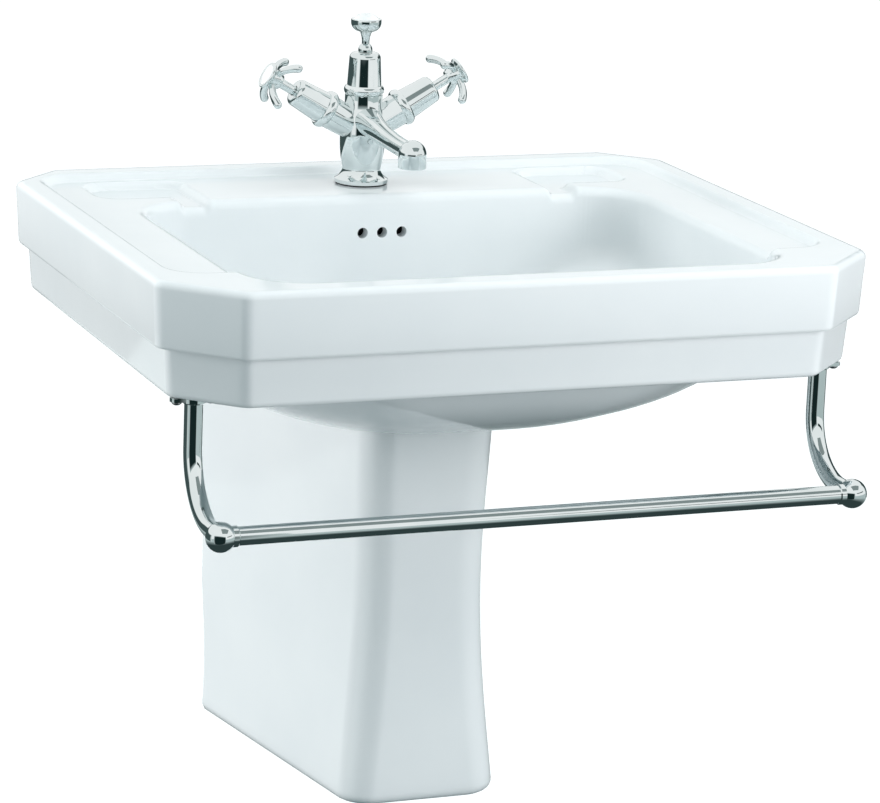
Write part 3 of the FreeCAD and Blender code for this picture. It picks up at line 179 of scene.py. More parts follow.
def from_box(x, y, x_range, y_range, radius):
    """The distance outside a rectangle with round corners."""
    across = np.abs(x - sum(x_range) / 2) - (x_range[1] - x_range[0]) / 2 + radius
    along = np.abs(y - sum(y_range) / 2) - (y_range[1] - y_range[0]) / 2 + radius
    outside = np.hypot(np.maximum(across, 0), np.maximum(along, 0))
    return outside + np.minimum(np.maximum(across, along), 0) - radius


def right_corners(inset, back):
    """The right-hand corners of the rim's plan, drawn in on every side and by another value at the back."""
    root = math.sqrt(2)
    front_x = half_width - front_chamfer - (root - 1) * inset
    front_y = -(depth - front_chamfer - (root - 1) * inset)
    back_x = half_width - back_chamfer - root * inset + back
    return [(front_x, -(depth - inset)), (half_width - inset, front_y),
            (half_width - inset, -back_chamfer - (root - 1) * inset), (back_x, -back)]


def octagon(inset, back):
    """The rim's plan, drawn in by an inset on every side and by another at the back."""
    right = right_corners(inset, back)
    corners = right + [(-x, y) for x, y in right[::-1]]
    turns = [corner_round, corner_round, corner_round, back_round]
    return rounded(corners, turns + turns[::-1])


def oblong(half, back, front, radius):
    """A rectangle with round corners, from a half width and its distances from the wall."""
    corners = [(half, -front), (half, -back), (-half, -back), (-half, -front)]
    return rounded(corners, [radius] * 4)


def bowl_plan(angle, grow):
    """The bowl's plan at an angle round its toe, and the centre that its points are seen from."""
    draw = 1 - math.cos(angle)
    half = mouth_half + grow - side_reach * draw
    back, front = mouth_back - grow + back_reach * draw, mouth_front + grow - front_reach * draw
    radius = mouth_round + (bowl_round - mouth_round) * float(ease(angle / full_round_turn))
    radius = min(radius, 0.45 * (front - back), 0.98 * half)
    return oblong(half, back, front, radius + 0.5 * grow), np.array([0, middle_y + middle_drift * draw])


def deck_height(x, y):
    """The height of the rim, the sunk deck, the trays and their notches."""
    reach = half_width - border
    border_edge = from_box(x, y, (-reach, reach), (-recess_front, -back_border), recess_round)
    drop = deck_drop * ease(0.5 - border_edge / border_slope)
    tray = from_box(np.abs(x), y, tray_x, tray_y, tray_round)
    notch = from_box(np.abs(x), y, (tray_x[0], tray_x[0] + notch_width),
                     (-mouth_back - 2 * lip_round, tray_y[0] + 2 * tray_round), notch_width / 4)
    return rim - drop - tray_drop * ease(1 - np.minimum(tray, notch) / tray_slope)


def flat(points, height):
    """Plan points at a height, which is one value or one for each point."""
    return np.column_stack([points, np.broadcast_to(height, len(points))])


middle = np.array([0, middle_y])
tray_bearing = math.atan2(sum(tray_y) / 2 - middle[1], sum(tray_x) / 2)
corner_points = [(half_width, -depth + front_chamfer), (half_width - front_chamfer, -depth),
                 (half_width, -back_chamfer), (half_width - back_chamfer, 0)]
strip_bearing = math.atan2(-recess_front - middle[1], (mouth_half + half_width - border) / 2)
focus = [(tray_bearing, 0.24, 2.5), (math.pi - tray_bearing, 0.24, 2.5)]
focus += [(strip_bearing, 0.08, 5), (math.pi - strip_bearing, 0.08, 5)]
for x, y in corner_points:
    bearing = math.atan2(y - middle[1], x - middle[0])
    focus += [(bearing, 0.02, 7), (math.pi - bearing, 0.02, 7)]
angles = spread(columns, focus)
circle = np.stack([np.cos(angles), np.sin(angles)], axis=1)
waste_middle = np.array([0, waste_y])

seat_floor = bowl_floor - seat_depth
rings = [flat(waste_middle + circle * radius, height) for radius, height in (
    (waste_hole, seat_floor), (waste_seat - seat_edge, seat_floor), (waste_seat, seat_floor + seat_edge),
    (waste_seat, bowl_floor - seat_edge), (waste_seat + 0.4 * seat_edge, bowl_floor - 0.3 * seat_edge),
    (waste_seat + 1.5 * seat_edge, bowl_floor))]
for angle in np.linspace(toe, 0, 38):
    plan, centre = bowl_plan(angle, 0)
    height = rim - bowl_straight - (bowl_depth - bowl_straight) * math.sin(angle)
    rings.append(flat(loop(plan, centre, angles), height))
wall = loop(bowl_plan(0, 0)[0], middle, angles)
lip_foot = deck_height(*wall.T) - lip_round
for share in np.linspace(0, 1, 8)[1:]:
    rings.append(flat(wall, rim - bowl_straight + share * (lip_foot - rim + bowl_straight)))
for turn in np.radians(np.linspace(0, 90, 9))[1:]:
    plan = loop(bowl_plan(0, lip_round * (1 - math.cos(turn)))[0], middle, angles)
    rings.append(flat(plan, deck_height(*plan.T) - lip_round * (1 - math.sin(turn))))
inner, outer = plan, loop(octagon(rim_round, rim_round), middle, angles)
for share in np.linspace(0, 1, 62)[1:]:
    plan = inner + share * (outer - inner)
    rings.append(flat(plan, deck_height(*plan.T)))
for turn in np.radians(np.linspace(0, 90, 8))[1:]:
    inset = rim_round * (1 - math.sin(turn))
    plan = loop(octagon(inset, inset), middle, angles)
    rings.append(flat(plan, rim - rim_round * (1 - math.cos(turn))))
step_height, step_inset = rim - upper_band, band_draft + band_step
foot_inset = step_inset + band_draft
band_profile = [
    (band_draft * 0.5, rim - upper_band / 2),
    (band_draft, step_height + band_round),
    (band_draft + 0.15 * band_round, step_height + 0.5 * band_round),
    (band_draft + 0.4 * band_round, step_height + 0.15 * band_round),
    (band_draft + band_round, step_height),
    (step_inset - step_round, step_height),
    (step_inset - step_soft, step_height - step_soft),
    (step_inset, step_height - step_round),
    (foot_inset, underside + foot_round),
    (foot_inset + 0.15 * foot_round, underside + 0.5 * foot_round),
    (foot_inset + 0.5 * foot_round, underside + 0.15 * foot_round),
    (foot_inset + foot_round, underside),
]
for inset, height in band_profile:
    rings.append(flat(loop(octagon(inset, 0), middle, angles), height))
skirt = foot_inset + skirt_wall
pad_inner, pad_back = post_x - pad_half, post_y + pad_half
right = [(pad_inner, skirt - depth), (pad_inner, pad_back), (half_width - skirt, pad_back)]
right += right_corners(skirt, back_wall)[2:]
hollow = rounded(right + [(-x, y) for x, y in right[::-1]], [hollow_round] * 10)
belly_angles = np.linspace(0, toe, 30)
belly_heights = rim - belly_straight - (belly_depth - belly_straight) * np.sin(belly_angles)
belly_heights[0] = deck_under
meeting = math.asin((rim - belly_straight - underside) / (belly_depth - belly_straight))
join_groove = 0.002
belly_foot = np.linalg.norm(loop(bowl_plan(meeting, china)[0], middle, angles) - middle, axis=1)
room = np.maximum(np.linalg.norm(loop(hollow, middle, angles) - middle, axis=1), belly_foot + join_groove)
cavity = middle + circle * room[:, None]
ceiling = np.full(columns, underside + join_groove)
for angle, height in zip(belly_angles, belly_heights):
    reach = np.linalg.norm(loop(bowl_plan(angle, china)[0], middle, angles) - middle, axis=1)
    ceiling = np.maximum(ceiling, np.where(reach < room - join_groove, height, underside))
rings += [flat(cavity, underside + share * (ceiling - underside)) for share in (0, 0.5, 1)]


def within(plan, centre):
    """Points of a plan, kept inside the hollow and grown round the overflow duct."""
    duct = rounded([(duct_half, centre[1] - duct_half), (duct_half, duct_back), (-duct_half, duct_back),
                    (-duct_half, centre[1] - duct_half)], [duct_round] * 4)
    reach = np.linalg.norm(loop(plan, centre, angles) - centre, axis=1)
    reach = np.maximum(reach, np.linalg.norm(loop(duct, centre, angles) - centre, axis=1))
    limit = np.linalg.norm(loop(cavity, centre, angles) - centre, axis=1) - join_groove / 2
    return centre + circle * np.minimum(reach, limit)[:, None]


for angle, height in zip(belly_angles, belly_heights):
    plan, centre = bowl_plan(angle, china)
    centre = middle if angle < meeting else centre
    rings.append(flat(within(plan, centre), np.minimum(height, ceiling)))
rings += [flat(waste_middle + circle * radius, belly) for radius in (waste_pad, waste_hole)]
basin = skin("basin_china", rings, closed=True)

overflow_z, overflow_pitch, overflow_radius = rim - 0.039, 0.018, 0.0047
overflow_start, overflow_end, overflow_top = -0.120, -0.150, overflow_z + 2 * overflow_radius
way_half, way_front, way_back = 0.028, -0.123, -0.113
wall_bolt_x, wall_bolt_radius = 0.140, 0.011
tap_y, tap_hole, tap_hole_low, overlap = -0.077, 0.0175, 0.02, 0.01
combine(basin, [brick((-way_half, way_front, bowl_floor), (way_half, way_back, overflow_top))])
combine(basin, [rod((x, overflow_start, overflow_z), (x, overflow_end, overflow_z), overflow_radius)
                for x in (-overflow_pitch, 0, overflow_pitch)])
bolt_holes = [rod((x, overlap, 0), (x, -back_wall - overlap, 0), wall_bolt_radius)
              for x in (-wall_bolt_x, wall_bolt_x)]
combine(basin, bolt_holes + [rod((0, tap_y, tap_hole_low), (0, tap_y, rim + overlap), tap_hole)])


def shaded(name):
    """A new material with its node tree, its links and its main shader."""
    paint = bpy.data.materials.new(name)
    paint.use_nodes = True
    tree = paint.node_tree
    return paint, tree.nodes, tree.links, tree.nodes["Principled BSDF"]


def noise_on_object(nodes, links, scale, detail):
    """A noise texture that follows the object."""
    place = nodes.new("ShaderNodeTexCoord")
    noise = nodes.new("ShaderNodeTexNoise")
    noise.inputs["Scale"].default_value = scale
    noise.inputs["Detail"].default_value = detail
    links.new(place.outputs["Object"], noise.inputs["Vector"])
    return noise


def ramp(nodes, links, source, low_value, high_value):
    """A colour ramp that turns a 0.3 to 0.7 noise into a range of two colours or two greys."""
    mix = nodes.new("ShaderNodeValToRGB")
    for stop, place, value in zip(mix.color_ramp.elements, (0.3, 0.7), (low_value, high_value)):
        stop.position = place
        stop.color = (*value, 1) if isinstance(value, tuple) else (value, value, value, 1)
    links.new(source, mix.inputs["Fac"])
    return mix.outputs["Color"]


def coloured(name, low_colour, high_colour, low_rough, high_rough, metal=0.0, scale=9.0, bump=0.0,
             bump_scale=60.0):
    """A material whose colour and roughness drift a little over the object, with a faint uneven surface if bump
    is set.
    """
    paint, nodes, links, shader = shaded(name)
    drift = noise_on_object(nodes, links, scale, 3.0)
    links.new(ramp(nodes, links, drift.outputs["Fac"], low_colour, high_colour), shader.inputs["Base Color"])
    grain = noise_on_object(nodes, links, bump_scale, 2.0)
    links.new(ramp(nodes, links, grain.outputs["Fac"], low_rough, high_rough), shader.inputs["Roughness"])
    shader.inputs["Metallic"].default_value = metal
    if bump:
        uneven = nodes.new("ShaderNodeBump")
        uneven.inputs["Strength"].default_value = bump
        uneven.inputs["Distance"].default_value = 0.001
        links.new(grain.outputs["Fac"], uneven.inputs["Height"])
        links.new(uneven.outputs["Normal"], shader.inputs["Normal"])
    return paint


def paint_nodes(paint, *names):
    """Gives CAD nodes a material."""
    for name in names:
        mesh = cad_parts[name].data
        mesh.materials.clear()
        mesh.materials.append(paint)


def fit(thing, node, body, paint):
    """Shades and paints a piece, and puts it on a body in a CAD node's place."""
    smooth(thing)
    thing.data.materials.clear()
    thing.data.materials.append(paint)
    paint_nodes(paint, node)
    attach(thing, body)
    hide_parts(node)


glaze = coloured("white_glaze", (0.86, 0.88, 0.89), (0.90, 0.915, 0.92), 0.05, 0.09, bump=0.03,
                 bump_scale=45.0)
fit(basin, "basin", "basin_unit", glaze)
# Faces inside the overflow duct get a near-black paint: painted shade, standing in for the shadow inside the
# duct.
duct_shade_paint = coloured("painted_duct_shade", (0.012, 0.014, 0.014), (0.02, 0.023, 0.023), 0.7, 0.9, scale=60.0)
basin.data.materials.append(duct_shade_paint)
near = 0.0005
way_low = (-way_half - near, way_front - near, bowl_floor - near)
way_high = (way_half + near, way_back + near, overflow_top + near)
for face in basin.data.polygons:
    if all(least <= value <= most for least, value, most in zip(way_low, face.center, way_high)):
        face.material_index = 1

# Half pedestal: vitreous china in the same glaze, with sides that close in to a rounded front and a slight
# waist. It is open behind, and below inside a flange at its foot. Two lugs take the wall bolts, and its top
# is scribed to the bowl.
levels = np.array([rim - 0.122, rim - 0.172, rim - 0.300, rim - 0.420, rim - 0.511])
back_halves = np.array([0.116, 0.116, 0.116, 0.1115, 0.1115])
front_halves = np.array([0.057, 0.057, 0.053, 0.059, 0.069])
front_reaches = np.array([0.276, 0.276, 0.272, 0.276, 0.283])
pedestal_corner, pedestal_wall, foot_flange, toe_round, scribe_gap = 0.025, 0.011, 0.022, 0.010, 0.0004
lug_x, lug_z, lug_half_width, lug_half_height, lug_depth, lug_hole = 0.082, -0.262, 0.017, 0.024, 0.012, 0.006
corner_x, corner_y, past_wall, margin = 0.055, -0.26, 0.02, 0.001
spine = np.array([0, -0.12])
pedestal_corners = [math.atan2(corner_y - spine[1], side * corner_x) for side in (-1, 1)]
pedestal_angles = spread(320, [(bearing, 0.12, 3) for bearing in pedestal_corners])


def at_level(values, height):
    """A smooth run through a size given at each level."""
    return float(np.polyval(np.polyfit(levels - levels[2], values, 4), height - levels[2]))


def pedestal_ring(height, shrink, back):
    """The pedestal's plan at a height, drawn in by a wall and reaching back past y 0 by another value."""
    wide, narrow, reach = (at_level(values, height) - shrink
                           for values in (back_halves, front_halves, front_reaches))
    lean = math.atan((wide - narrow) / reach)
    radius = (pedestal_corner - 0.5 * shrink) * math.tan(math.pi / 4 + lean / 2)
    past = wide + back * math.tan(lean)
    corners = [(narrow, -reach), (past, back), (-past, back), (-narrow, -reach)]
    return flat(loop(rounded(corners, [radius, 0, 0, radius]), spine, pedestal_angles), height)


foot, top = levels[-1], levels[0]
outside = [pedestal_ring(foot + toe_round * (1 - math.cos(turn)), toe_round * (1 - math.sin(turn)), 0)
           for turn in np.radians(np.linspace(0, 90, 8))]
outside += [pedestal_ring(height, 0, 0) for height in np.linspace(foot + toe_round, top, 60)[1:]]
pedestal = skin("pedestal_china", outside)
inside = [pedestal_ring(height, pedestal_wall, past_wall)
          for height in np.linspace(foot + pedestal_wall, top + past_wall, 40)]
combine(pedestal, [skin("pedestal_room", inside)])
lug_outer = at_level(back_halves, lug_z) - pedestal_wall / 2
combine(pedestal, [brick((side * (lug_x - lug_half_width), -lug_depth, lug_z - lug_half_height),
                         (side * lug_outer, 0, lug_z + lug_half_height)) for side in (-1, 1)], "UNION")
belly_rings = [flat(loop(bowl_plan(0, china + scribe_gap)[0], middle, angles), deck_under)]
for angle in np.linspace(0.05, toe, 40):
    plan, centre = bowl_plan(angle, china + scribe_gap)
    height = rim - belly_straight - (belly_depth + scribe_gap - belly_straight) * math.sin(angle)
    belly_rings.append(flat(loop(plan, centre, angles), height))
belly_rings.append(flat(waste_middle + circle * waste_pad, belly - scribe_gap))
lug_holes = [rod((x, overlap, lug_z), (x, -lug_depth - overlap, lug_z), lug_hole) for x in (-lug_x, lug_x)]
combine(pedestal, [skin("belly_form", belly_rings)] + lug_holes)
sole = pedestal_ring(foot, foot_flange, past_wall)[:, :2]
sole_levels = (foot - margin, foot + pedestal_wall + margin)
combine(pedestal, [skin("foot_opening", [flat(sole, height) for height in sole_levels])])
fit(pedestal, "semi_pedestal", "basin_unit", glaze)

# Tap body: a brass casting, turned and polished to a vase on a flared foot, with two arms tilted up to the
# valves, then nickel and chrome plated. Its shank passes the deck on a rubber gasket and is nutted below.
chrome = coloured("chrome_plate", (0.71, 0.77, 0.77), (0.78, 0.83, 0.83), 0.015, 0.045, metal=1.0, scale=30.0,
                  bump_scale=90.0)
deck = rim - deck_drop
shank_radius, shank_length, gasket, rod_bore = 0.0166, 0.058, 0.0015, 0.00325
foot_radius, foot_edge, foot_curve, neck_radius, neck_height = 0.0235, 0.003, 0.011, 0.017, 0.014
belly_curve, head_radius, head_start, head_height = 0.121, 0.0165, 0.068, 0.079
arm_height, arm_tilt, arm_root, arm_radius, arm_length = 0.046, math.radians(30), 0.0125, 0.0145, 0.037
cartridge_start, cartridge_bore = 0.0145, 0.010
inlet_offset, inlet_radius, inlet_top = 0.0096, 0.0044, 0.056
grub_height, grub_start, grub_hole = 0.040, 0.013, 0.0023
tap = Matrix.Translation((0, tap_y, deck))
arm_foot = tap @ Matrix.Translation((0, 0, arm_height))
arms = {side: arm_foot @ Matrix.Rotation(way * (math.pi / 2 - arm_tilt), 4, "Y")
        for side, way in (("hot", -1), ("cold", 1))}


def bow(start, end, radius, way=1, steps=14):
    """Outline points along an arc from one point to another, bulging outwards or, with way -1, inwards."""
    start, end = np.array(start), np.array(end)
    length = float(np.linalg.norm(end - start))
    run = (end - start) / length
    out = way * np.array([run[1], -run[0]])
    half = math.asin(length / 2 / radius)
    centre = (start + end) / 2 - out * radius * math.cos(half)
    turns = np.linspace(-half, half, steps)
    return [tuple(centre + radius * (out * math.cos(turn) + run * math.sin(turn))) for turn in turns]


def dome(radius, rise):
    """The radius of a ball whose cap has the given radius and rise."""
    return (radius ** 2 + rise ** 2) / (2 * rise)


def turned(name, outline, place, sides=96):
    """Points of (radius, height) swept round the Z axis of a place, as a solid where they end on it."""
    solid = abs(outline[-1][0]) < 1e-7
    spin = np.linspace(0, 2 * math.pi, sides, endpoint=False)
    turn, shift = np.array(place.to_3x3()), np.array(place.translation)
    rings = [np.column_stack([radius * np.cos(spin), radius * np.sin(spin), np.full(sides, height)])
             for radius, height in outline]
    return skin(name, [ring @ turn.T + shift for ring in rings], closed=not solid, capped=False)


def bore(place, start, end, radius):
    """A cutter along the Z axis of a place."""
    return rod(place @ Vector((0, 0, start)), place @ Vector((0, 0, end)), radius)


vase = [(0, -shank_length), (shank_radius, -shank_length), (shank_radius, gasket), (foot_radius, gasket)]
vase += bow((foot_radius, gasket + foot_edge), (neck_radius, neck_height), foot_curve, -1)
vase += bow((neck_radius, neck_height), (head_radius, head_start), belly_curve, steps=30)[1:]
vase += [(head_radius, head_height), (0, head_height)]
arm_outline = [(0, 0), (arm_root, 0), (arm_radius, arm_length), (0, arm_length)]
tap_body = turned("tap_body_plated", vase, tap)
combine(tap_body, [turned("arm", arm_outline, place) for place in arms.values()], "UNION")
combine(tap_body, [bore(place, cartridge_start, arm_length + margin, cartridge_bore)
                   for place in arms.values()])
combine(tap_body, [bore(tap, -shank_length - margin, head_height + margin, rod_bore)])
inlets = [tap @ Matrix.Translation((x, 0, 0)) for x in (-inlet_offset, inlet_offset)]
combine(tap_body, [bore(place, -shank_length - margin, inlet_top, inlet_radius) for place in inlets])
grub_z = deck + grub_height
combine(tap_body, [rod((0, tap_y - grub_start, grub_z), (0, tap_y - 2 * grub_start, grub_z), grub_hole)])
fit(tap_body, "tap_body", "basin_unit", chrome)
paint_nodes(chrome, "spout_screw", "lift_rod")

# Spout: a plated brass casting that tapers forward from the vase and ends in a domed nozzle turned down over
# the bowl, with the aerator in its mouth.
spout_reaches, spout_heights = [0.009, 0.062, 0.123], [0.058, 0.051, 0.0485]
spout_radii = [0.013, 0.0086, 0.0088]
nozzle_radius, nozzle_bottom, nozzle_straight, nozzle_edge = 0.012, 0.036, 0.012, 0.0008
nozzle_bore, aerator_top = 0.0096, 0.0441
height_run = np.polyfit(spout_reaches, spout_heights, 2)
radius_run = np.polyfit(spout_reaches, spout_radii, 2)
girth = np.linspace(0, 2 * math.pi, 72, endpoint=False)
spout_rings = []
for reach in np.linspace(spout_reaches[0], spout_reaches[-1], 60):
    radius, height = np.polyval(radius_run, reach), np.polyval(height_run, reach)
    spout_rings.append(np.column_stack([radius * np.cos(girth), np.full(len(girth), tap_y - reach),
                                        deck + height + radius * np.sin(girth)]))
spout = skin("spout_plated", spout_rings)
nozzle = tap @ Matrix.Translation((0, -spout_reaches[-1], 0))
dome_start, nozzle_lip = nozzle_bottom + nozzle_straight, nozzle_radius - nozzle_edge
nozzle_outline = [(0, nozzle_bottom), (nozzle_lip, nozzle_bottom)]
nozzle_outline += bow((nozzle_lip, nozzle_bottom), (nozzle_radius, nozzle_bottom + nozzle_edge), nozzle_edge,
                      steps=5)
nozzle_outline += bow((nozzle_radius, dome_start), (0, dome_start + nozzle_radius), nozzle_radius, steps=28)
combine(spout, [turned("nozzle", nozzle_outline, nozzle)], "UNION")
arm_forms = [turned("arm_form", arm_outline, place) for place in arms.values()]
combine(spout, [turned("vase_form", vase, tap)] + arm_forms)
combine(spout, [bore(nozzle, nozzle_bottom - margin, aerator_top, nozzle_bore)])
fit(spout, "spout", "basin_unit", chrome)
plastic = coloured("white_plastic", (0.72, 0.72, 0.70), (0.80, 0.80, 0.78), 0.35, 0.5, scale=200.0)
paint_nodes(plastic, "aerator")

# Centre column: a rounded crown ring and a tapered bonnet, turned in brass and plated, stand on the vase. The
# lift knob is a turned stem with a wide cup that holds a domed white porcelain insert.
crown_radius, crown_height, crown_bulge = 0.0156, 0.008, 0.005
bonnet_radius, bonnet_top_radius, bonnet_height = 0.015, 0.0137, 0.029
bonnet_wall, bonnet_round = 0.002, 0.005
rod_radius, knob_gap, knob_foot, knob_foot_edge, knob_foot_curve = 0.0025, 0.0003, 0.0062, 0.001, 0.007
stem_low, stem_waist, stem_top, stem_curve, stem_step = 0.0072, 0.0033, 0.0050, 0.022, 0.001
cup_level, cup_foot, cup_radius, cup_curve = 0.018, 0.0058, 0.0133, 0.0082
cup_rim, cup_band, cup_lip = 0.029, 0.0028, 0.0006
insert_radius, insert_floor, insert_step, insert_rise = 0.0116, 0.0215, 0.002, 0.005
crown_top = head_height + crown_height
bonnet_top = crown_top + bonnet_height
shoulder = bonnet_top - bonnet_round
crown_bead = bow((crown_radius, head_height), (crown_radius, crown_top), crown_bulge)
crown = turned("crown_plated", [(rod_bore, head_height)] + crown_bead + [(rod_bore, crown_top)], tap)
fit(crown, "centre_crown", "basin_unit", chrome)
crest, bonnet_inside = bonnet_top_radius - bonnet_round, bonnet_top - bonnet_wall
bonnet_outline = [(bonnet_radius - bonnet_wall, crown_top), (bonnet_radius, crown_top)]
bonnet_outline += bow((bonnet_top_radius, shoulder), (crest, bonnet_top), bonnet_round)
bonnet_outline += [(rod_bore, bonnet_top), (rod_bore, bonnet_inside), (crest, bonnet_inside),
                   (bonnet_top_radius - bonnet_wall, shoulder)]
bonnet = turned("bonnet_plated", bonnet_outline, tap)
fit(bonnet, "centre_bonnet", "basin_unit", chrome)
stand = tap @ Matrix.Translation((0, 0, bonnet_top + knob_gap))
knob_outline = [(rod_radius, 0), (knob_foot, 0)]
knob_outline += bow((knob_foot, knob_foot_edge), (stem_waist, stem_low), knob_foot_curve)
knob_outline += bow((stem_waist, stem_low), (stem_top, cup_level - stem_step), stem_curve, -1)[1:]
knob_outline += bow((cup_foot, cup_level), (cup_radius, cup_rim - cup_band), cup_curve)
knob_outline += bow((cup_radius, cup_rim - cup_lip), (cup_radius - cup_lip, cup_rim), cup_lip * 1.01, steps=5)
insert_edge = cup_rim - insert_step
knob_outline += [(insert_radius, cup_rim), (insert_radius, insert_edge), (cup_foot, insert_floor),
                 (rod_radius, insert_floor)]
knob = turned("knob_plated", knob_outline, stand)
fit(knob, "lift_knob", "lift", chrome)
porcelain = coloured("white_porcelain", (0.88, 0.885, 0.88), (0.92, 0.925, 0.92), 0.04, 0.08)
insert_outline = [(0, insert_floor), (cup_foot, insert_floor), (insert_radius, insert_edge)]
insert_outline += bow((insert_radius, cup_rim), (0, cup_rim + insert_rise), dome(insert_radius, insert_rise))
insert = turned("insert_china", insert_outline, stand)
fit(insert, "knob_insert", "lift", porcelain)

# Valves: each arm carries a quarter-turn brass headwork with ceramic discs, hidden by a beaded collar and a
# tapered shroud, both turned and plated. The plated spindle comes out of the shroud.
hex_bore, collar_radius, collar_bulge, collar_length = 0.0115, 0.015, 0.0052, 0.008
shroud_radius, shroud_tip, shroud_length = 0.0138, 0.0122, 0.030
shroud_wall, shroud_round, shroud_hole = 0.0015, 0.004, 0.00475
spindle_radius, spindle_foot, spindle_end = 0.00425, 0.02405, 0.099
flange_radius, flange_depth = 0.0078, 0.003
ring_low, ring_high, ring_radius, thread_radius, thread_end = 0.05905, 0.06095, 0.0033, 0.002, 0.090
brass = coloured("raw_brass", (0.60, 0.43, 0.20), (0.72, 0.55, 0.28), 0.25, 0.4, metal=1.0, scale=120.0)
ceramic = coloured("disc_ceramic", (0.80, 0.79, 0.76), (0.86, 0.85, 0.82), 0.2, 0.3, scale=200.0)
rubber = coloured("black_rubber", (0.015, 0.015, 0.016), (0.03, 0.03, 0.032), 0.6, 0.8, scale=300.0)
shroud_low = arm_length + collar_length
shroud_top = shroud_low + shroud_length
tip, tip_low, shroud_inside = shroud_tip - shroud_round, shroud_top - shroud_round, shroud_top - shroud_wall
collar_bead = bow((collar_radius, arm_length), (collar_radius, shroud_low), collar_bulge)
collar_outline = [(hex_bore, arm_length)] + collar_bead + [(hex_bore, shroud_low)]
shroud_outline = [(shroud_radius - shroud_wall, shroud_low), (shroud_radius, shroud_low)]
shroud_outline += bow((shroud_tip, tip_low), (tip, shroud_top), shroud_round)
shroud_outline += [(shroud_hole, shroud_top), (shroud_hole, shroud_inside), (tip, shroud_inside),
                   (shroud_tip - shroud_wall, tip_low)]
flange_top = spindle_foot + flange_depth
spindle_outline = [
    (0, spindle_foot), (flange_radius, spindle_foot), (flange_radius, flange_top),
    (spindle_radius, flange_top), (spindle_radius, ring_low), (ring_radius, ring_low),
    (ring_radius, ring_high), (spindle_radius, ring_high), (spindle_radius, spindle_end),
    (thread_radius, spindle_end), (thread_radius, thread_end), (0, thread_end)]
for side, place in arms.items():
    collar = turned(f"{side}_collar_plated", collar_outline, place)
    fit(collar, f"{side}_collar", "basin_unit", chrome)
    shroud = turned(f"{side}_shroud_plated", shroud_outline, place)
    fit(shroud, f"{side}_shroud", "basin_unit", chrome)
    spindle = turned(f"{side}_spindle_plated", spindle_outline, place, 64)
    fit(spindle, f"{side}_spindle", f"{side}_handle", chrome)
    paint_nodes(brass, f"{side}_valve_body")
    paint_nodes(ceramic, f"{side}_fixed_disc", f"{side}_moving_disc")
    paint_nodes(rubber, f"{side}_disc_seal", f"{side}_spindle_ring")

# Crosshead handles: a plated brass hub with a cap and four round levers that sweep back towards the body. A
# screw under the white porcelain index disc holds each one on its spindle.
hub_start, hub_foot, hub_radius, hub_level = 0.090, 0.0065, 0.0085, 0.097
cap_radius, cap_start, cap_edge, cap_cove, cap_bead = 0.0115, 0.102, 0.0025, 0.006, 0.0016
index_radius, index_low, index_rise, screw_head, screw_seat = 0.0093, 0.10325, 0.0014, 0.0041, 0.101
lever_count, lever_start, lever_bend, lever_sweep = 4, 0.007, 0.024, math.radians(50)
lever_radius, lever_tip, lever_clock = 0.0028, 0.0036, math.radians(45)
steel = coloured("steel", (0.46, 0.47, 0.48), (0.56, 0.57, 0.58), 0.25, 0.4, metal=1.0, scale=150.0)


def nodes_of(name, inputs):
    """A new geometry tree with its inputs, and a function that adds a node with its values and links."""
    tree = bpy.data.node_groups.new(name, "GeometryNodeTree")
    for label, kind in inputs:
        tree.interface.new_socket(label, in_out="INPUT", socket_type=kind)
    tree.interface.new_socket("Geometry", in_out="OUTPUT", socket_type="NodeSocketGeometry")

    def add(kind, values=None, **settings):
        node = tree.nodes.new(kind)
        for key, value in settings.items():
            setattr(node, key, value)
        for key, value in (values or {}).items():
            if isinstance(value, bpy.types.NodeSocket):
                tree.links.new(value, node.inputs[key])
            else:
                node.inputs[key].default_value = value
        return node

    return tree, add


def hand_out(add, shape, paint):
    """Ends a geometry tree: makes its copies real, sets their material and hands them out."""
    real = add("GeometryNodeRealizeInstances", {"Geometry": shape}).outputs[0]
    painted = add("GeometryNodeSetMaterial", {"Geometry": real, "Material": paint}).outputs[0]
    add("NodeGroupOutput", {"Geometry": painted})


def grown(thing, tree, values):
    """Runs a geometry tree on an object and leaves its result as a plain mesh."""
    step = thing.modifiers.new(tree.name, "NODES")
    step.node_group = tree
    for item in tree.interface.items_tree:
        if item.in_out == "INPUT" and item.name in values:
            step[item.identifier] = values[item.name]
    shape = thing.evaluated_get(bpy.context.evaluated_depsgraph_get())
    mesh = bpy.data.meshes.new_from_object(shape)
    thing.modifiers.clear()
    thing.data = mesh
    return thing


def seed(name, points=(), edges=()):
    """An object with bare points and edges for a geometry tree to grow from."""
    mesh = bpy.data.meshes.new(name)
    mesh.from_pydata(list(points), list(edges), [])
    thing = bpy.data.objects.new(name, mesh)
    bpy.context.scene.collection.objects.link(thing)
    return thing


tree, add = nodes_of("swept_levers", [("Geometry", "NodeSocketGeometry"), ("Count", "NodeSocketInt"),
                                      ("Bend", "NodeSocketFloat"), ("Sweep", "NodeSocketFloat"),
                                      ("Root", "NodeSocketFloat"), ("Tip", "NodeSocketFloat"),
                                      ("Material", "NodeSocketMaterial")])
given = add("NodeGroupInput").outputs
tip_turn = add("ShaderNodeMath", {0: given["Tip"], 1: given["Bend"]}, operation="DIVIDE").outputs[0]
whole_turn = add("ShaderNodeMath", {0: given["Sweep"], 1: tip_turn}, operation="ADD").outputs[0]
back_turn = add("ShaderNodeMath", {0: whole_turn, 1: -1.0}, operation="MULTIPLY").outputs[0]
arc = add("GeometryNodeCurveArc", {"Resolution": 72, "Radius": given["Bend"], "Start Angle": math.pi / 2,
                                   "Sweep Angle": back_turn}).outputs["Curve"]
length = add("GeometryNodeSplineParameter").outputs["Length"]
straight = add("ShaderNodeMath", {0: given["Bend"], 1: given["Sweep"]}, operation="MULTIPLY").outputs[0]
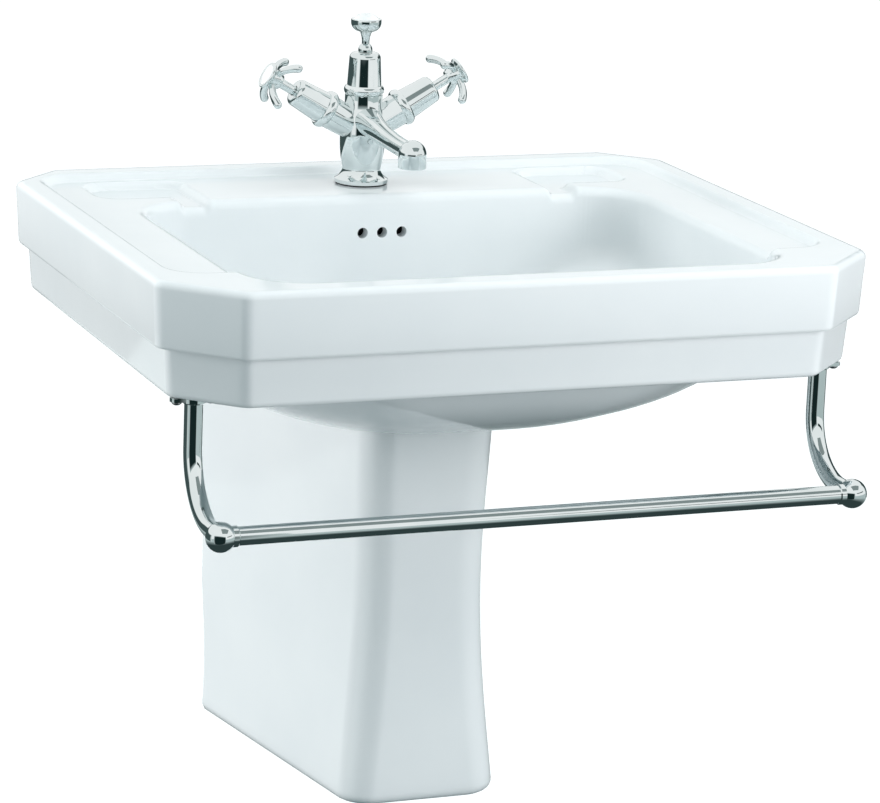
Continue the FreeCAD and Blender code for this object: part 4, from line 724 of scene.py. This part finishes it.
taper = add("ShaderNodeMapRange", {"Value": length, "From Max": straight, "To Min": given["Root"],
                                   "To Max": given["Tip"]}).outputs["Result"]
past = add("ShaderNodeMath", {0: length, 1: straight}, operation="SUBTRACT").outputs[0]
past = add("ShaderNodeMath", {0: past, 1: 0.0}, operation="MAXIMUM").outputs[0]
share = add("ShaderNodeMath", {0: past, 1: given["Tip"]}, operation="DIVIDE", use_clamp=True).outputs[0]
square = add("ShaderNodeMath", {0: share, 1: share}, operation="MULTIPLY").outputs[0]
fall = add("ShaderNodeMath", {0: 1.0, 1: square}, operation="SUBTRACT").outputs[0]
tip_round = add("ShaderNodeMath", {0: fall}, operation="SQRT").outputs[0]
thickness = add("ShaderNodeMath", {0: taper, 1: tip_round}, operation="MULTIPLY").outputs[0]
profile = add("GeometryNodeCurvePrimitiveCircle", {"Resolution": 32, "Radius": 1.0}).outputs["Curve"]
lever = add("GeometryNodeCurveToMesh", {"Curve": arc, "Profile Curve": profile, "Scale": thickness,
                                        "Fill Caps": True}).outputs["Mesh"]
lever = add("GeometryNodeMergeByDistance", {"Geometry": lever, "Distance": 1e-6}).outputs["Geometry"]
drop = add("ShaderNodeMath", {0: hub_level, 1: given["Bend"]}, operation="SUBTRACT").outputs[0]
start = add("ShaderNodeCombineXYZ", {"X": lever_start, "Z": drop}).outputs[0]
lever = add("GeometryNodeTransform", {"Geometry": lever, "Translation": start,
                                      "Rotation": (math.pi / 2, 0, 0)}).outputs["Geometry"]
points = add("GeometryNodePoints", {"Count": given["Count"]}).outputs[0]
number = add("GeometryNodeInputIndex").outputs[0]
pitch = add("ShaderNodeMath", {0: 2 * math.pi, 1: given["Count"]}, operation="DIVIDE").outputs[0]
heading = add("ShaderNodeMath", {0: number, 1: pitch, 2: lever_clock}, operation="MULTIPLY_ADD").outputs[0]
facing = add("ShaderNodeCombineXYZ", {"Z": heading}).outputs[0]
copies = add("GeometryNodeInstanceOnPoints",
             {"Points": points, "Instance": lever, "Rotation": facing}).outputs[0]
hand_out(add, copies, given["Material"])
hub_outline = [(spindle_radius, hub_start), (hub_foot, hub_start), (hub_radius, hub_level - lever_radius),
               (hub_radius, hub_level + lever_radius)]
cap_top = cap_start + cap_edge
hub_outline += bow((hub_radius, hub_level + lever_radius), (cap_radius, cap_start), cap_cove, -1, steps=8)[1:]
hub_outline += bow((cap_radius, cap_start), (cap_radius, cap_top), cap_bead, steps=9)
hub_outline += [(index_radius, cap_top), (index_radius, index_low), (screw_head, index_low),
                (screw_head, screw_seat), (thread_radius, screw_seat), (thread_radius, spindle_end),
                (spindle_radius, spindle_end)]
index_outline = [(0, index_low), (index_radius, index_low)]
index_outline += bow((index_radius, cap_top), (0, cap_top + index_rise), dome(index_radius, index_rise))
for side, place in arms.items():
    levers = grown(seed("levers"), tree, {"Count": lever_count, "Bend": lever_bend, "Sweep": lever_sweep,
                                          "Root": lever_radius, "Tip": lever_tip, "Material": chrome})
    levers.data.transform(place)
    crosshead = turned(f"{side}_crosshead_plated", hub_outline, place)
    combine(crosshead, [levers], "UNION")
    fit(crosshead, f"{side}_crosshead", f"{side}_handle", chrome)
    index = turned(f"{side}_index_china", index_outline, place)
    fit(index, f"{side}_index_disc", f"{side}_handle", porcelain)
    paint_nodes(steel, f"{side}_handle_screw")

# Towel rail: a plated brass tube between two ball joints, each on a bent post with a flange that two steel
# screws hold up under a front corner of the basin.
rail_z, rail_y, rail_radius, post_radius, post_bend = rim - 0.187, -0.521, 0.0075, 0.0075, 0.052
ball_radius, socket, socket_cut = 0.012, 0.008, 0.03
neck_collar, neck_reach, neck_edge = 0.0084, 0.0135, 0.0008
flange_disc, flange_height, flange_edge, plate_thickness, plate_end = 0.0095, 0.005, 0.001, 0.003, 0.0055
screw_spread, shank, shank_reach, shank_gap = 0.014, 0.002, 0.024, 0.0001
pan_radius, pan_height, pan_curve = 0.004, 0.003, 0.0045
slot_half, slot_width, slot_low, slot_floor = 0.0024, 0.0005, -0.004, -0.0016
tree, add = nodes_of("tube_on_path", [("Geometry", "NodeSocketGeometry"), ("Radius", "NodeSocketFloat"),
                                      ("Material", "NodeSocketMaterial")])
given = add("NodeGroupInput").outputs
path = add("GeometryNodeMeshToCurve", {"Mesh": given["Geometry"]}).outputs["Curve"]
profile = add("GeometryNodeCurvePrimitiveCircle", {"Resolution": 64, "Radius": given["Radius"]}).outputs[0]
tube = add("GeometryNodeCurveToMesh", {"Curve": path, "Profile Curve": profile, "Fill Caps": True}).outputs[0]
hand_out(add, tube, given["Material"])


def tube_along(name, points, radius):
    """A plated tube along a path of points."""
    bare = seed(name, points, [(i, i + 1) for i in range(len(points) - 1)])
    return grown(bare, tree, {"Radius": radius, "Material": chrome})


tube_end = post_x - socket
rail_path = [(x, rail_y, rail_z) for x in np.linspace(-tube_end, tube_end, 9)]
rail = tube_along("rail_plated", rail_path, rail_radius)
fit(rail, "rail_tube", "basin_unit", chrome)
bend = [(-post_bend * (1 - math.cos(a)), -post_bend * math.sin(a)) for a in np.linspace(0, math.pi / 2, 24)]
route = [(post_y, underside)] + [(post_y + y, rail_z + post_bend + z) for y, z in bend]
route += [(rail_y + socket, rail_z)]
shoulder_x = math.sqrt(ball_radius ** 2 - neck_collar ** 2)
knuckle_outline = bow((0, -ball_radius), (ball_radius, 0), ball_radius, steps=24)
knuckle_outline += bow((ball_radius, 0), (neck_collar, shoulder_x), ball_radius, steps=10)[1:]
knuckle_outline += [(neck_collar, neck_reach - neck_edge), (neck_collar - neck_edge, neck_reach),
                    (0, neck_reach)]
boss_outline = [(post_radius, 0), (flange_disc, 0), (flange_disc, -flange_height + flange_edge),
                (flange_disc - flange_edge, -flange_height), (post_radius, -flange_height)]
plate_outline = [(0, -plate_thickness), (plate_end, -plate_thickness), (plate_end, 0), (0, 0)]
screws = []
for hand, way in (("left", -1), ("right", 1)):
    post = tube_along(f"{hand}_post_plated", [(way * post_x, y, z) for y, z in route], post_radius)
    fit(post, f"{hand}_rail_post", "basin_unit", chrome)
    inward = Matrix.Translation((way * post_x, rail_y, rail_z)) @ Matrix.Rotation(-way * math.pi / 2, 4, "Y")
    knuckle = turned(f"{hand}_ball_plated", knuckle_outline, inward)
    post_hole = rod((way * post_x, rail_y + socket, rail_z), (way * post_x, rail_y + socket_cut, rail_z),
                    post_radius, 64)
    tube_hole = rod((way * tube_end, rail_y, rail_z), (way * (tube_end - socket_cut), rail_y, rail_z),
                    rail_radius, 64)
    combine(knuckle, [post_hole, tube_hole])
    fit(knuckle, f"{hand}_rail_ball", "basin_unit", chrome)
    under = Matrix.Translation((way * post_x, post_y, underside))
    ends = [under @ Matrix.Translation((x, 0, 0)) for x in (-screw_spread, screw_spread)]
    flange = turned(f"{hand}_flange_plated", plate_outline, ends[1])
    plate = brick(under @ Vector((-screw_spread, -plate_end, -plate_thickness)),
                  under @ Vector((screw_spread, plate_end, 0)))
    combine(flange, [turned("plate_end", plate_outline, ends[0]), plate], "UNION")
    shank_holes = [bore(end, -overlap, overlap, shank + shank_gap) for end in ends]
    combine(flange, [bore(under, -overlap, overlap, post_radius)] + shank_holes)
    combine(flange, [turned("boss", boss_outline, under)], "UNION")
    fit(flange, f"{hand}_post_flange", "basin_unit", chrome)
    screws += [(way * post_x + side * screw_spread, post_y, underside - plate_thickness) for side in (-1, 1)]
screw_outline = [(0, -pan_height)]
screw_outline += bow((0.4 * pan_radius, -pan_height), (pan_radius, -0.4 * pan_height), pan_curve)
screw_outline += [(pan_radius, 0), (shank, 0), (shank, shank_reach), (0, shank_reach)]
one_screw = turned("one_screw", screw_outline, Matrix.Identity(4), 40)
combine(one_screw, [brick((-long, -wide, slot_low), (long, wide, slot_floor))
                    for long, wide in ((slot_half, slot_width), (slot_width, slot_half))])
tree, add = nodes_of("screws_on_points", [("Geometry", "NodeSocketGeometry"), ("Screw", "NodeSocketObject"),
                                          ("Material", "NodeSocketMaterial")])
given = add("NodeGroupInput").outputs
model = add("GeometryNodeObjectInfo", {"Object": given["Screw"]}).outputs["Geometry"]
copies = add("GeometryNodeInstanceOnPoints", {"Points": given["Geometry"], "Instance": model}).outputs[0]
hand_out(add, copies, given["Material"])
rail_screws = grown(seed("screws_steel", screws), tree, {"Screw": one_screw, "Material": steel})
bpy.data.objects.remove(one_screw)
fit(rail_screws, "rail_screws", "basin_unit", steel)

# Fixings and waste: the tap's gasket, washer, plate and nut, and the pop-up waste with its plug, pivot, strap
# and clamp. They are left as the CAD made them, in plated or bare brass, steel, rubber and plastic.
paint_nodes(chrome, "waste_plug", "waste_body")
paint_nodes(brass, "back_nut", "waste_nut", "ball_nut", "rod_clamp")
paint_nodes(steel, "fixing_plate", "lift_strap", "pivot_rod", "clamp_screw")
paint_nodes(rubber, "base_gasket", "deck_washer", "waste_gasket", "waste_washer", "plug_ring")
paint_nodes(plastic, "ball_seat")

# Room for the picture: a pale floor far below that mirrors see as a painted reflection, darker near the object,
# white all round to the camera and to mirrors, and glowing cards that only mirrors see: painted reflections, as
# in a studio with a dark front and back.
floor_half, floor_place, floor_glow = 9, (0, -0.3, -0.80), 0.96
dark_reach, pale_reach = 0.2, 2.8
square_plan = ((-1, -1), (1, -1), (1, 1), (-1, 1))
floor_mesh = bpy.data.meshes.new("floor")
floor_mesh.from_pydata([(x * floor_half, y * floor_half, 0) for x, y in square_plan], [], [(0, 1, 2, 3)])
floor = bpy.data.objects.new("floor", floor_mesh)
floor.location = floor_place
bpy.context.scene.collection.objects.link(floor)
paint, nodes, links, shader = shaded("floor_white")
shader.inputs["Base Color"].default_value = (0.15, 0.20, 0.21, 1)
shader.inputs["Roughness"].default_value = 0.9
shader.inputs["Emission Color"].default_value = (1, 1, 1, 1)
sight, glow = nodes.new("ShaderNodeLightPath"), nodes.new("ShaderNodeMath")
glow.operation = "MULTIPLY"
glow.inputs[1].default_value = floor_glow
links.new(sight.outputs["Is Camera Ray"], glow.inputs[0])
links.new(glow.outputs[0], shader.inputs["Emission Strength"])
# To mirrors the floor glows with its own colour, near black close under the object and pale further out: a
# painted reflection with painted shade under the object.
place, far = nodes.new("ShaderNodeTexCoord"), nodes.new("ShaderNodeVectorMath")
far.operation = "LENGTH"
links.new(place.outputs["Object"], far.inputs[0])
fade = nodes.new("ShaderNodeMapRange")
fade.inputs["From Min"].default_value, fade.inputs["From Max"].default_value = dark_reach, pale_reach
links.new(far.outputs["Value"], fade.inputs["Value"])
painted_reflection_tone = ramp(nodes, links, fade.outputs["Result"], (0.035, 0.055, 0.055), (0.50, 0.58, 0.58))
mirrored, both = nodes.new("ShaderNodeEmission"), nodes.new("ShaderNodeMixShader")
links.new(painted_reflection_tone, mirrored.inputs["Color"])
links.new(sight.outputs["Is Glossy Ray"], both.inputs["Fac"])
links.new(shader.outputs["BSDF"], both.inputs[1])
links.new(mirrored.outputs["Emission"], both.inputs[2])
links.new(both.outputs["Shader"], nodes["Material Output"].inputs["Surface"])
floor_mesh.materials.append(paint)


def card(name, path, low_z, high_z, soft, end_share, middle_colour, edge_colour):
    """An upright card along a path in plan, with a colour that changes towards its two ends and its top."""
    mesh = bpy.data.meshes.new(name)
    count = len(path)
    points = [(x, y, z) for z in (low_z, high_z - soft, high_z) for x, y in path]
    starts = [row + i for row in (0, count) for i in range(count - 1)]
    mesh.from_pydata(points, [], [(i, i + 1, count + i + 1, count + i) for i in starts])
    ends = [max(0, (abs(2 * i / (count - 1) - 1) - 1) / end_share + 1) for i in range(count)]
    run = mesh.attributes.new("run", "FLOAT", "POINT")
    run.data.foreach_set("value", ends + ends + [1.0] * count)
    thing = bpy.data.objects.new(name, mesh)
    bpy.context.scene.collection.objects.link(thing)
    thing.visible_camera = thing.visible_diffuse = thing.visible_shadow = thing.visible_transmission = False
    paint, nodes, links, shader = shaded(name)
    along_card = nodes.new("ShaderNodeAttribute")
    along_card.attribute_name = "run"
    glow = nodes.new("ShaderNodeEmission")
    tone = ramp(nodes, links, along_card.outputs["Fac"], middle_colour, edge_colour)
    tone.node.color_ramp.elements[0].position, tone.node.color_ramp.elements[1].position = 0.0, 1.0
    links.new(tone, glow.inputs["Color"])
    links.new(glow.outputs["Emission"], nodes["Material Output"].inputs["Surface"])
    mesh.materials.append(paint)


def arc_path(radius, start, end, count=41):
    """Points along an arc in plan round the origin, between two bearings in degrees."""
    bearings = np.radians(np.linspace(start, end, count))
    return radius * np.column_stack([np.cos(bearings), np.sin(bearings)])


# The cards glow and only mirrors see them: painted reflections, dark in the middle and pale towards their ends
# and tops.
card("front_card", np.linspace((-1.15, -0.85), (0.20, -1.75), 41), low_z=-0.79, high_z=0.20, soft=0.10,
     end_share=0.2, middle_colour=(0.010, 0.022, 0.022), edge_colour=(0.55, 0.62, 0.62))
card("back_card", arc_path(2.0, -8, 196, 103), low_z=-0.79, high_z=0.37, soft=0.12,
     end_share=0.12, middle_colour=(0.06, 0.09, 0.09), edge_colour=(0.9, 0.95, 0.95))
card("right_card", arc_path(1.9, -4, 46), low_z=0.2, high_z=1.0, soft=0.2,
     end_share=0.15, middle_colour=(0.03, 0.05, 0.05), edge_colour=(0.9, 0.95, 0.95))
card("streak_card", arc_path(1.8, -76, -30), low_z=0.12, high_z=0.25, soft=0.02,
     end_share=0.2, middle_colour=(0.03, 0.05, 0.05), edge_colour=(0.8, 0.85, 0.85))
# A grey card overhead that glows and only mirrors see: a painted reflection.
overhead_x, overhead_y, overhead_z = (-0.4, 1.5), (-2.6, -0.9), 1.6
overhead_corners = [(overhead_x[(x + 1) // 2], overhead_y[(y + 1) // 2], overhead_z) for x, y in square_plan]
overhead = bpy.data.meshes.new("overhead_card")
overhead.from_pydata(overhead_corners, [], [(0, 1, 2, 3)])
overhead_card = bpy.data.objects.new("overhead_card", overhead)
bpy.context.scene.collection.objects.link(overhead_card)
overhead_card.visible_camera = overhead_card.visible_diffuse = False
overhead_card.visible_shadow = overhead_card.visible_transmission = False
paint, nodes, links, shader = shaded("overhead_card")
shader.inputs["Base Color"].default_value = (0, 0, 0, 1)
shader.inputs["Emission Color"].default_value = (0.25, 0.29, 0.29, 1)
shader.inputs["Emission Strength"].default_value = 1.0
overhead.materials.append(paint)

# Light: white to the camera and to mirrors, a faint ambient light on everything else, and three square soft
# lamps that mirrors don't see, on the left, in front on the right and above.
world = bpy.data.worlds.new("studio")
world.use_nodes = True
bpy.context.scene.world = world
nodes, links = world.node_tree.nodes, world.node_tree.links
sight, choose = nodes.new("ShaderNodeLightPath"), nodes.new("ShaderNodeMixShader")
white, ambient = nodes["Background"], nodes.new("ShaderNodeBackground")
white.inputs["Color"].default_value, white.inputs["Strength"].default_value = (1, 1, 1, 1), 1.0
ambient.inputs["Color"].default_value, ambient.inputs["Strength"].default_value = (0.68, 0.92, 0.97, 1), 0.38
either, seen = nodes.new("ShaderNodeMath"), nodes.new("ShaderNodeMath")
either.operation = seen.operation = "MAXIMUM"
links.new(sight.outputs["Is Camera Ray"], either.inputs[0])
links.new(sight.outputs["Is Glossy Ray"], either.inputs[1])
links.new(either.outputs[0], seen.inputs[0])
links.new(sight.outputs["Is Transmission Ray"], seen.inputs[1])
links.new(seen.outputs[0], choose.inputs["Fac"])
links.new(ambient.outputs[0], choose.inputs[1])
links.new(white.outputs[0], choose.inputs[2])
links.new(choose.outputs[0], nodes["World Output"].inputs["Surface"])


def lamp(name, place, aim, size, power, colour):
    """A square soft light that points at a place and that mirrors don't see."""
    light = bpy.data.lights.new(name, "AREA")
    light.size, light.energy, light.color = size, power, colour
    thing = bpy.data.objects.new(name, light)
    thing.location = place
    thing.rotation_mode = "QUATERNION"
    thing.rotation_quaternion = (Vector(aim) - Vector(place)).to_track_quat("-Z", "Y")
    thing.visible_glossy = False
    bpy.context.scene.collection.objects.link(thing)


lamp("left_light", place=(-2.3, 0.68, 0.12), aim=(0, -0.25, 0), size=1.2, power=52,
     colour=(1.0, 0.98, 0.98))
lamp("right_light", place=(1.1, -1.9, 0.3), aim=(0.1, -0.3, -0.12), size=1.4, power=31,
     colour=(1.0, 0.98, 0.99))
lamp("top_light", place=(0, -0.3, 2.2), aim=(0, -0.25, 0), size=2.0, power=30,
     colour=(1.0, 1.0, 1.0))

# Camera: a long lens at the photograph's viewing angle. Its place and its turn, in degrees, were solved from
# the corners of the rim.
camera_bearing, camera_down, camera_roll = -21.74, 14.03, 2.248
view = bpy.data.cameras.new("photo_view")
view.lens, view.sensor_width, view.clip_end = 157.81, 36.0, 50.0
camera = bpy.data.objects.new("photo_view", view)
camera.location = (-1.165423, -3.207906, 0.693032)
turn = (Matrix.Rotation(math.radians(camera_bearing), 3, "Z")
        @ Matrix.Rotation(math.radians(90 - camera_down), 3, "X")
        @ Matrix.Rotation(math.radians(camera_roll), 3, "Z"))
camera.rotation_mode = "QUATERNION"
camera.rotation_quaternion = turn.to_quaternion()
bpy.context.scene.collection.objects.link(camera)
bpy.context.scene.camera = camera
bpy.context.scene.view_settings.view_transform = "Standard"
